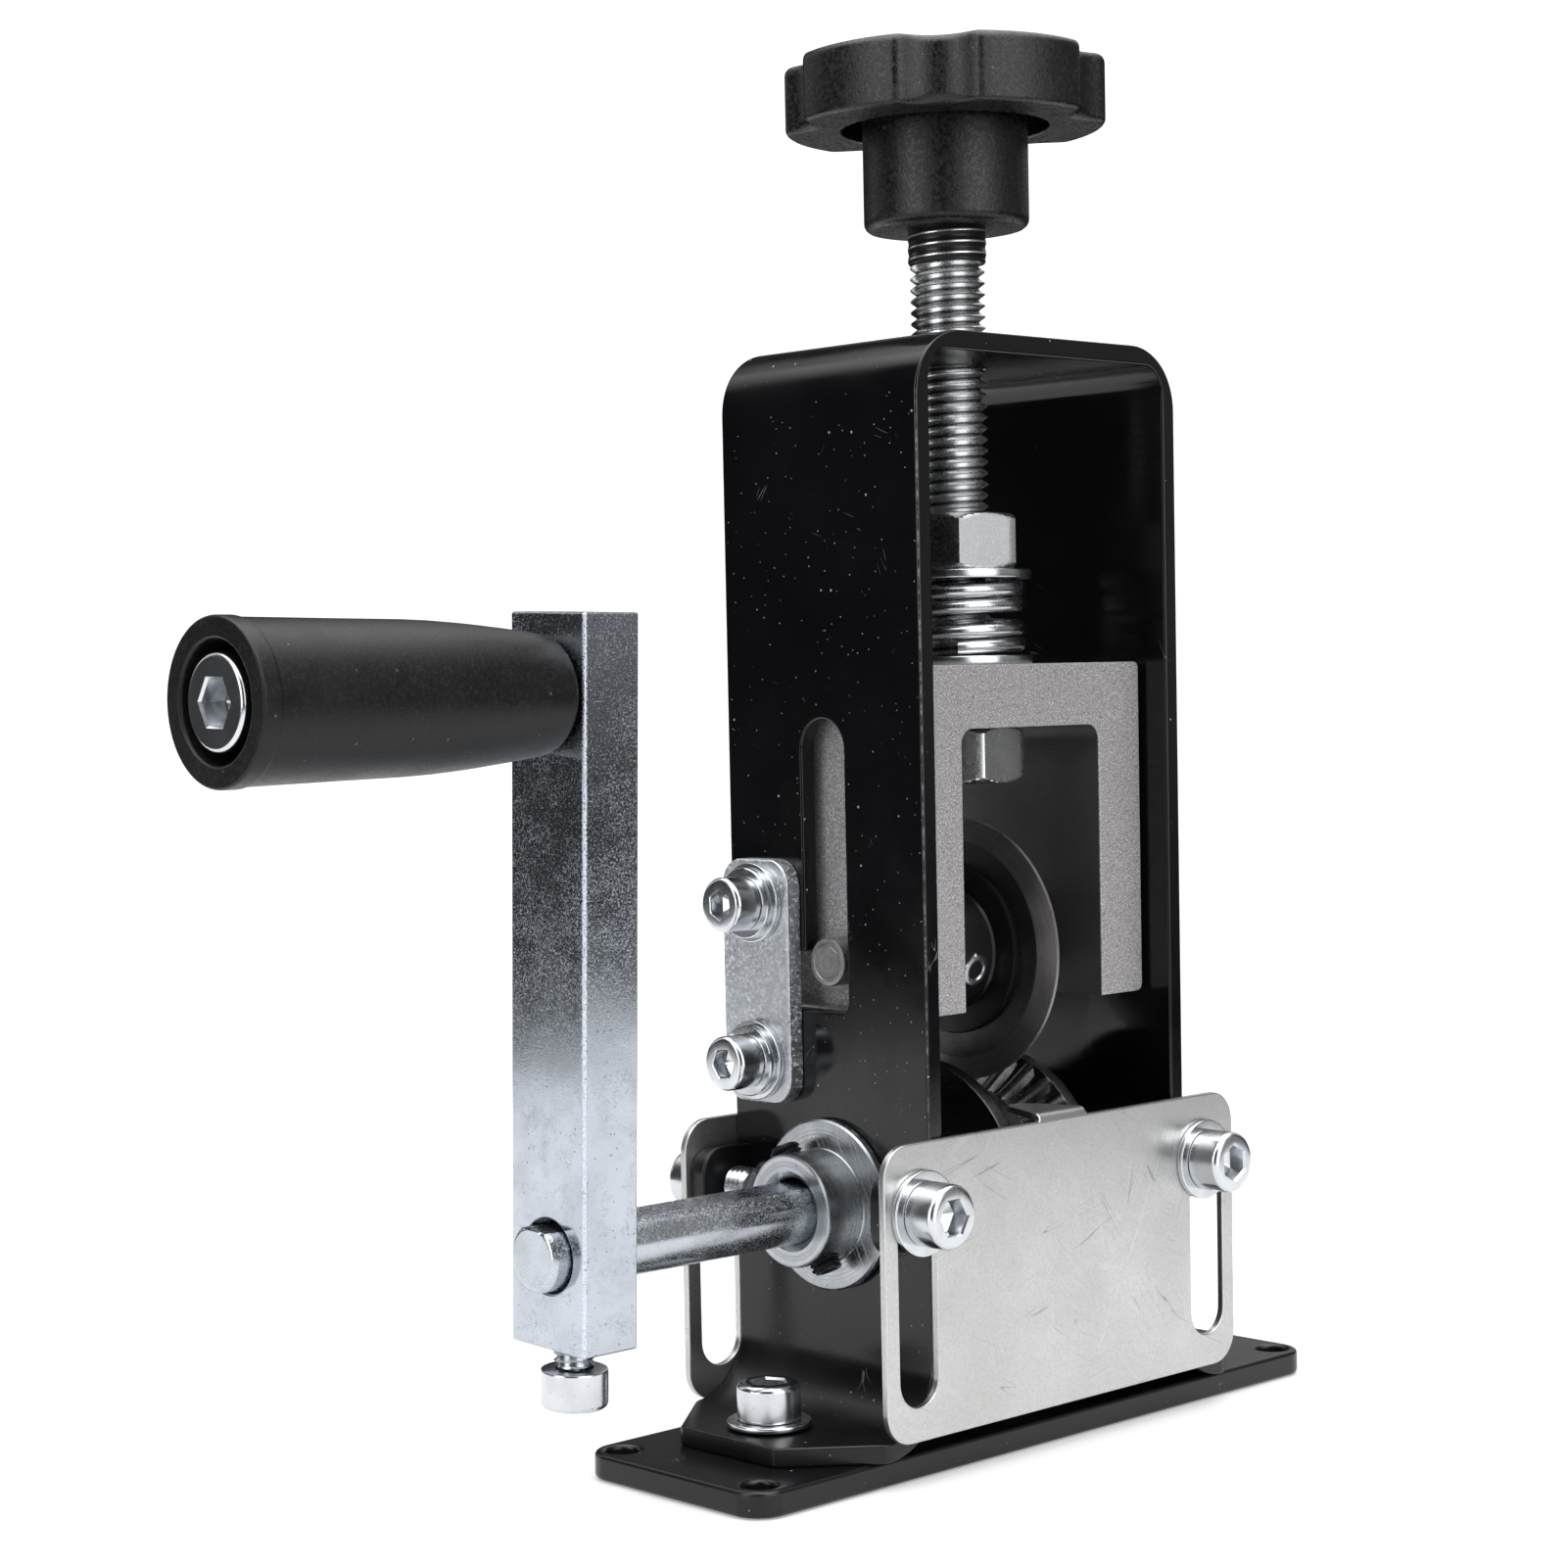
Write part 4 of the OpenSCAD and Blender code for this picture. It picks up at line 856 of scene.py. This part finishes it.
# ---------------------------------------------------------------- shaft, hubs, roller and crank
def shaft_set():
    n, across = 96, SHAFT_R - 1.0
    ways = [cos(2 * pi * j / n) for j in range(n)]
    flat = [min(SHAFT_R, across / max(1e-6, c)) if c > 0 else SHAFT_R for c in ways]
    l = SHAFT_END + HUB_OUT
    rings = [(least(flat, 4.1), 0), (least(flat, 4.6), 0.28), (flat, 0.8), (flat, l - 1.4),
             (least(flat, 4.55), l - 0.75), (least(flat, 3.75), l - 0.15), (least(flat, 3.3), l)]
    # Local X, the flat's side, points up
    turn = Matrix(((0, 0, 1, 0), (0, -1, 0, 0), (1, 0, 0, 0), (0, 0, 0, 1)))
    piece("drive_shaft", *polar(rings, n), "shaft_steel", "crank",
          LEAN @ spot(-SHAFT_END, 0, DRIVE_Z, turn), sharp=30)
    bore = SHAFT_R + 0.05
    for side, name, face in SIDES:
        rings = [(bore, -4.5), (6.7, -4.5), (7.0, -4.2), (7.0, 0.1), (12.95, 0.1), (13.2, 0.35), (13.2, 1.3),
                 (12.9, 1.6), (8.85, 1.6), (8.7, 1.75), (8.7, 8.55), (8.6, 8.85), (8.35, 9.0), (6.2, 9.0),
                 (bore + 0.35, 8.35), (bore, 7.9)]
        piece(f"{name}_hub", *polar(rings, 96, closed=True), "hub_steel", "crank",
              spot(side * WALL, 0, DRIVE_Z, face), sharp=30)
        for k, way in enumerate((0, 180)):
            hub_grub(f"hub_grub_{name}_{k}",
                     spot(side * (WALL + 5.3), 0, DRIVE_Z, about("X", way - 27)) @ spot(0, 0, 5.1))
    for side, name, face in SIDES:
        rings = [(5.1, 0), (7.1, 0), (7.4, 0.3), (7.4, 15.05), (7.1, 15.35), (5.1, 15.35)]
        piece(f"shaft_spacer_{name}", *polar(rings, 64, closed=True), "hub_steel", "crank",
              spot(side * 10.05, 0, DRIVE_Z, face), "shaft_spacers")


def hub_grub(name, place):
    """A hub's M5 grub screw, its socket at the outer end."""
    r, l, n = 2.5, 5.1, 48
    hexagon = 2.5
    socket = hex_r(hexagon, n)
    rings = [(r - 0.5, l), (hexagon / 2 * 1.155 + 0.12, l), (socket, l - 0.25), (socket, l - 2.2),
             ([q * 0.5 for q in socket], l - 2.5), (0.2, l - 2.6)]
    verts, faces = thread(r, 0.45, 0.8, 0, l, n=32, steps=6, ends=0.45)
    piece(name, *join((verts, faces[:-1]), polar(rings, n, low=False)), "dark_steel", "crank", place,
          "hub_grub_screws", sharp=35)


def roller():
    teeth, per = 30, 10
    n = teeth * per
    # Depth along one tooth, 0 at its crest, and the toothed cone's half width, radius and greatest depth
    shape = (0, 0, 0.12, 0.62, 1, 1, 1, 0.62, 0.12, 0)
    wave = [shape[j % per] for j in range(n)]
    cone = ((7.5, 20.25, 0.0), (7.3, 20.1, 1.1), (6.4, 19.25, 1.55), (5.2, 18.05, 1.7), (4.0, 16.85, 1.6),
            (2.8, 15.65, 1.2), (2.1, 14.95, 0.2))
    rings = [(5.05, -10), (19.9, -10), (20.18, -9.88), (20.3, -9.6), (20.3, -7.7)]
    rings += [([r - d * q for q in wave], -x) for x, r, d in cone]
    rings += [(14.9, -1.8), (14.9, 1.8)]
    rings += [([r - d * q for q in wave], x) for x, r, d in reversed(cone)]
    rings += [(20.3, 7.7), (20.3, 9.6), (20.18, 9.88), (19.9, 10), (5.05, 10)]
    piece("feed_roller", *polar(rings, n, closed=True), "roller_steel", "crank",
          spot(0, 0, DRIVE_Z, RIGHT), sharp=30)


def crank():
    low, top = DRIVE_Z - 13.5, DRIVE_Z + CRANK_R + 11.5
    loop = rounded(-8, low, 8, top, 0.35, 3)
    holes = [circle(0, DRIVE_Z, 5.4), circle(0, DRIVE_Z + CRANK_R, 4.05)]
    flat = Matrix(((0, 0, -1, 0), (1, 0, 0, 0), (0, 1, 0, 0), (0, 0, 0, 1)))
    plate("crank_arm", [loop] + holes, 10, 0.35, "arm_zinc", "crank",
          LEAN @ spot(-(ARM_IN + ARM_OUT) / 2, 0, 0) @ flat)
    head_z = low - 3.4
    cap_screw("arm_clamp_screw", M6, 34.1 - head_z, "crank",
              LEAN @ spot(-(ARM_IN + ARM_OUT) / 2, 0, head_z, about("X", 180)), 0.9)
    # The bolt's head ends level with the grip
    head_x = GRIP_IN + GRIP_L - M8[2]
    cap_screw("handle_bolt", M8, head_x - ARM_IN, "crank",
              LEAN @ spot(-head_x, 0, DRIVE_Z + CRANK_R, LEFT), 0.7)
    l = GRIP_L
    profile = ((0, 7.2), (0.25, 7.6), (0.8, 8.15), (1.6, 8.5), (4, 8.85), (6.5, 9.12), (9, 9.4), (12, 9.7),
               (15, 9.98), (18, 10.2), (21, 10.4), (25, 10.55), (30, 10.62), (36, 10.7), (42, 10.8),
               (47, 10.88), (l - 3.05, 10.95), (l - 2.95, 11.0), (l - 2.85, 11.12), (l - 2.7, 11.18),
               (l - 2.5, 11.2), (l - 0.45, 11.2), (l - 0.2, 11.14), (l - 0.05, 11.0), (l, 10.8), (l, 8.6),
               (l - 0.08, 8.35), (l - 0.3, 8.18), (l - 0.7, 8.1), (l - 8.4, 8.1), (l - 8.4, 4.08))
    rings = [(4.08, 0)] + [(r, z) for z, r in profile]
    piece("handle_grip", *polar(rings, 96, closed=True), "grip_rubber", "grip",
          LEAN @ spot(-GRIP_IN, 0, DRIVE_Z + CRANK_R, LEFT), sharp=50)


# ---------------------------------------------------------------- pressure screw
LOBES = 5


def star_radius(n):
    """Radii of the knob's plan and, for each, how far it lies in a hollow."""
    # Lobes' radius; distance and radius of the circles that cut the hollows; reach of the rounded corner
    lobe, d, q, k = 25.1, 30.0, 8.1, 1.3
    out, hollow = [], []
    for j in range(n):
        p = 2 * pi * j / n % (2 * pi / LOBES) - pi / LOBES
        cut = 60.0
        if abs(p) < math.asin(q / d) - 1e-6:
            cut = d * cos(p) - math.sqrt(max(0.0, q * q - (d * sin(p)) ** 2))
        h = max(0.0, 1 - abs(lobe - cut) / k)
        out.append(min(lobe, cut) - h * h * k / 4)
        hollow.append(0.5 + 0.5 * cos(pi * min(1.0, abs(p) / radians(15))))
    return out, hollow


def knob():
    boss, stem, star, top = 184.7, 190.0, 205.7, 216.3
    n = LOBES * 44
    lobe, hollow = star_radius(n)

    def inset(d):
        return [q - d for q in lobe]

    rings = [(5.95, stem + 0.3), (11.6, stem), (12.2, stem + 0.12), (12.7, stem + 0.5), (12.95, stem + 1.0),
             (13.0, stem + 1.5), (13.0, star + 4.5), (13.2, star + 5.6), (13.8, star + 6.0),
             (16.0, star + 6.0), (16.3, star + 5.6), (16.3, star + 0.35), (16.6, star)]
    # The lower edge is rounded more in the hollows than under the lobes
    for a in (0, 22, 45, 68, 90):
        c, t = 1 - sin(radians(a)), 1 - cos(radians(a))
        rings.append(([q - (0.7 + 1.1 * h) * c for q, h in zip(lobe, hollow)],
                      [star + (0.7 + 1.9 * h) * t for h in hollow]))
    rings += [(inset(1.5 * (1 - cos(radians(a)))), top - 1.5 + 1.5 * sin(radians(a)))
              for a in (0, 15, 30, 45, 60, 75, 90)]
    rings += [(inset(3.4), top + 0.02), ([0.6 * q + 5.6 for q in lobe], top + 0.05), (11.0, top + 0.06),
              (7.5, top + 0.06), (7.1, top + 0.1), (6.98, top + 0.3), (6.8, top + 0.5), (6.4, top + 0.59),
              (2.0, top + 0.6)]
    piece("star_knob", *polar(rings, n, low=False), "knob_plastic", "screw", about("Z", -103.3), sharp=50)
    # The thin wound collar below the stem stands for no node
    collar = thread(6.2, 0.16, ROD_PITCH, boss, stem + 0.5, n=64, steps=16, ends=0.3)
    piece("knob_collar", *collar, "collar_steel", "screw", nodes=None, sharp=30)
    rod = thread(ROD_R, 1.0, ROD_PITCH, WINDOW_TOP - NUT_H + 0.1, stem - 0.2, n=64, steps=10, ends=0.8)
    piece("threaded_rod", *rod, "thread_zinc", "screw", sharp=30)
    seat = SPRING_Z + SPRING_H
    hex_nut("upper_nut", spot(0, 0, seat + SEAT_WASHER), -12)
    hex_nut("lower_nut", spot(0, 0, WINDOW_TOP - NUT_H), 6)
    for name, body, z in (("upper_washer", "spring_seat", seat), ("lower_washer", "yoke", YOKE_TOP)):
        washer(name, 12.4, ROD_R + 0.4, SEAT_WASHER, body, spot(0, 0, z), e=0.25)


def spring():
    wire, end, radius = 2.42, 0.03, 11.45
    # Turns of the lower closed coils, of the open ones between and of the upper closed ones
    closed, wide, upper = 1.05, 0.95, 1.35
    turns = closed + wide + upper
    climb = SPRING_H - wire - 2 * end
    pitch = wire + 0.03
    steep = (climb - (closed + upper) * pitch) / wide

    def height(t):
        if t < closed:
            return t * pitch
        if t < closed + wide:
            u = (t - closed) / wide
            return closed * pitch + wide * steep * (u * u * (3 - 2 * u) * 0.5 + u * 0.5)
        return climb - (turns - t) * pitch

    n, sides = 240, 14
    verts = []
    for i in range(n + 1):
        t = turns * i / n
        a = radians(226 + 360 * t)
        z0 = SPRING_Z + end + wire / 2 + height(t)
        for k in range(sides):
            b = 2 * pi * k / sides
            r = radius - wire / 2 + wire / 2 * cos(b)
            # Ground flat ends
            z = min(SPRING_Z + SPRING_H - 0.02, max(SPRING_Z + 0.02, z0 + wire / 2 * sin(b)))
            verts.append((r * cos(a), r * sin(a), z))
    obj = piece("pressure_spring", verts, tube(n, sides), "spring_steel", "spring_seat", sharp=60)
    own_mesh(obj)


# ---------------------------------------------------------------- yoke and blade
def yoke():
    w, i = 26.0, 16.0
    low, top, win = YOKE_LOW, YOKE_TOP, WINDOW_TOP
    loop = arc(-w + 1.2, low + 1.2, 1.2, 180, 270, 4) + [(-i, low), (-i, win - 2.4)]
    loop += arc(-i + 2.4, win - 2.4, 2.4, 180, 90, 6)[1:] + arc(i - 2.4, win - 2.4, 2.4, 90, 0, 6)
    loop += [(i, low)] + arc(w - 1.2, low + 1.2, 1.2, 270, 360, 4)
    loop += arc(w - 1.0, top - 1.0, 1.0, 0, 90, 4) + arc(-w + 1.0, top - 1.0, 1.0, 90, 180, 4)
    plate("yoke", [loop], 2 * YOKE_FACE, 0.3, "yoke_metal", "yoke", FRONT)


def blade():
    r, l = 3.75, 59.6
    rings = [(2.35, 0.08), (2.5, 0.25), (2.75, 0.25), (2.9, 0), (r - 0.5, 0), (r - 0.15, 0.15), (r, 0.5)]
    rings += [(q, l - z) for q, z in reversed(rings)]
    piece("blade_axle", *polar(rings, 64), "dull_steel", "blade", spot(-l / 2, 0, BLADE_Z, RIGHT))
    disc = ((BLADE_BORE, 1.1), (9.6, 1.1), (17.4, 1.1), (17.5, 1.06), (20.8, 0.24), (21.0, 0.1))
    rings = [(q, -z) for q, z in disc] + list(reversed(disc))
    piece("slitting_blade", *polar(rings, 160, closed=True), "blade_steel", "blade",
          spot(0, 0, BLADE_Z, RIGHT), sharp=12)
    rings = [(BLADE_BORE, 0), (8.9, 0), (9.3, 0.15), (9.5, 0.6), (9.5, 7.9), (9.8, 8.3), (13.2, 8.4),
             (13.5, 8.6), (13.5, 9.4), (BLADE_BORE, 9.4)]
    piece("blade_hub", *polar(rings, 96, closed=True), "dark_steel", "blade",
          spot(-10.5, 0, BLADE_Z, RIGHT), sharp=35)
    n, h = 72, 5.85
    flats = hex_r(4.9, n, 10)
    rings = [(1.9, 0), (least(flats, 2.3), 0.3), (flats, 0.6), (flats, h - 0.35),
             (least(flats, 2.5), h - 0.1), (2.25, h), (1.75, h), (1.5, h - 0.25), (1.45, h - 2.6),
             (0.3, h - 3.0)]
    piece("blade_grub_screw", *polar(rings, n), "hub_steel", "blade",
          spot(-6.1, 0, BLADE_Z, about("X", 106)) @ spot(0, 0, 3.85), sharp=30)
    for side, name, x0, x1, face in ((1, "right", 1.15, 15.9, RIGHT), (-1, "left", 10.55, 15.9, LEFT)):
        ln = x1 - x0
        rings = [(BLADE_BORE, 0), (5.7, 0), (5.95, 0.25), (5.95, ln - 0.25), (5.7, ln), (BLADE_BORE, ln)]
        piece(f"blade_spacer_{name}", *polar(rings, 64, closed=True), "dark_steel", "blade",
              spot(side * x0, 0, BLADE_Z, face), "blade_spacers")


base_plate()
frame_strip()
link_set()
foot_set()
guide_set()
shaft_set()
roller()
crank()
knob()
spring()
yoke()
blade()


# ---------------------------------------------------------------- floor and light
def floor():
    verts, faces = polar([(490.0, 0.0), (400.0, 0.0), (250.0, 0.0), (100.0, 0.0)], 96, low=False)
    mesh = bpy.data.meshes.new("floor")
    mesh.from_pydata([Vector(v) * MM for v in verts], [], faces)
    mesh.transform(Matrix.Translation((-0.12, 0.03, -0.0002)))
    obj = bpy.data.objects.new("floor", mesh)
    scene.collection.objects.link(obj)
    mesh.materials.append(Finish("floor", Base_Color=(0.50, 0.50, 0.505, 1), Roughness=0.9,
                                 Specular_IOR_Level=0.0, Emission_Color=(0.98, 0.99, 1, 1),
                                 Emission_Strength=0.3).m)


def studio():
    """A dim room with a soft box overhead and upright ones round the object; the camera sees plain white."""
    world = bpy.data.worlds.new("studio")
    scene.world = world
    world.use_nodes = True
    g = Graph(world.node_tree)
    g.t.nodes.clear()
    out = g.add("OutputWorld")
    way = g.add("TexCoord").outputs["Generated"]
    height = g.add("SeparateXYZ", {"Vector": way}).outputs["Z"]
    flat = g.vec("NORMALIZE", g.vec("MULTIPLY", way, (1, 1, 0)))
    total = g.fit(height, 0.62, 0.92, 0.0, 3.5)
    # Compass direction, half width and softness in degrees, lower and upper end, strength
    boxes = ((177, 13, 8, -0.16, -0.04, 3.2), (-93, 20, 9, -0.16, -0.04, 2.8), (-46, 14, 14, -0.1, 0.0, 0.26),
             (104, 9, 7, 0.05, 0.2, 0.9), (20, 20, 12, 0.1, 0.3, 0.8))
    for az, half, soft, low, high, power in boxes:
        dot = g.vec("DOT_PRODUCT", flat, (cos(radians(az)), sin(radians(az)), 0), "Value")
        side = g.fit(dot, cos(radians(half + soft)), cos(radians(half - soft)), 0.0, power)
        total = g.sum(total, g.mul(side, g.fit(height, low, high)))
    room = g.add("Background", {"Color": (1, 1, 1, 1), "Strength": g.sum(total, 0.035)})
    white = g.add("Background", {"Color": (1, 1, 1, 1), "Strength": 1.2})
    seen = g.add("LightPath").outputs["Is Camera Ray"]
    pick = g.add("MixShader", {0: seen, 1: room.outputs[0], 2: white.outputs[0]})
    g.t.links.new(pick.outputs[0], out.inputs["Surface"])


floor()
studio()
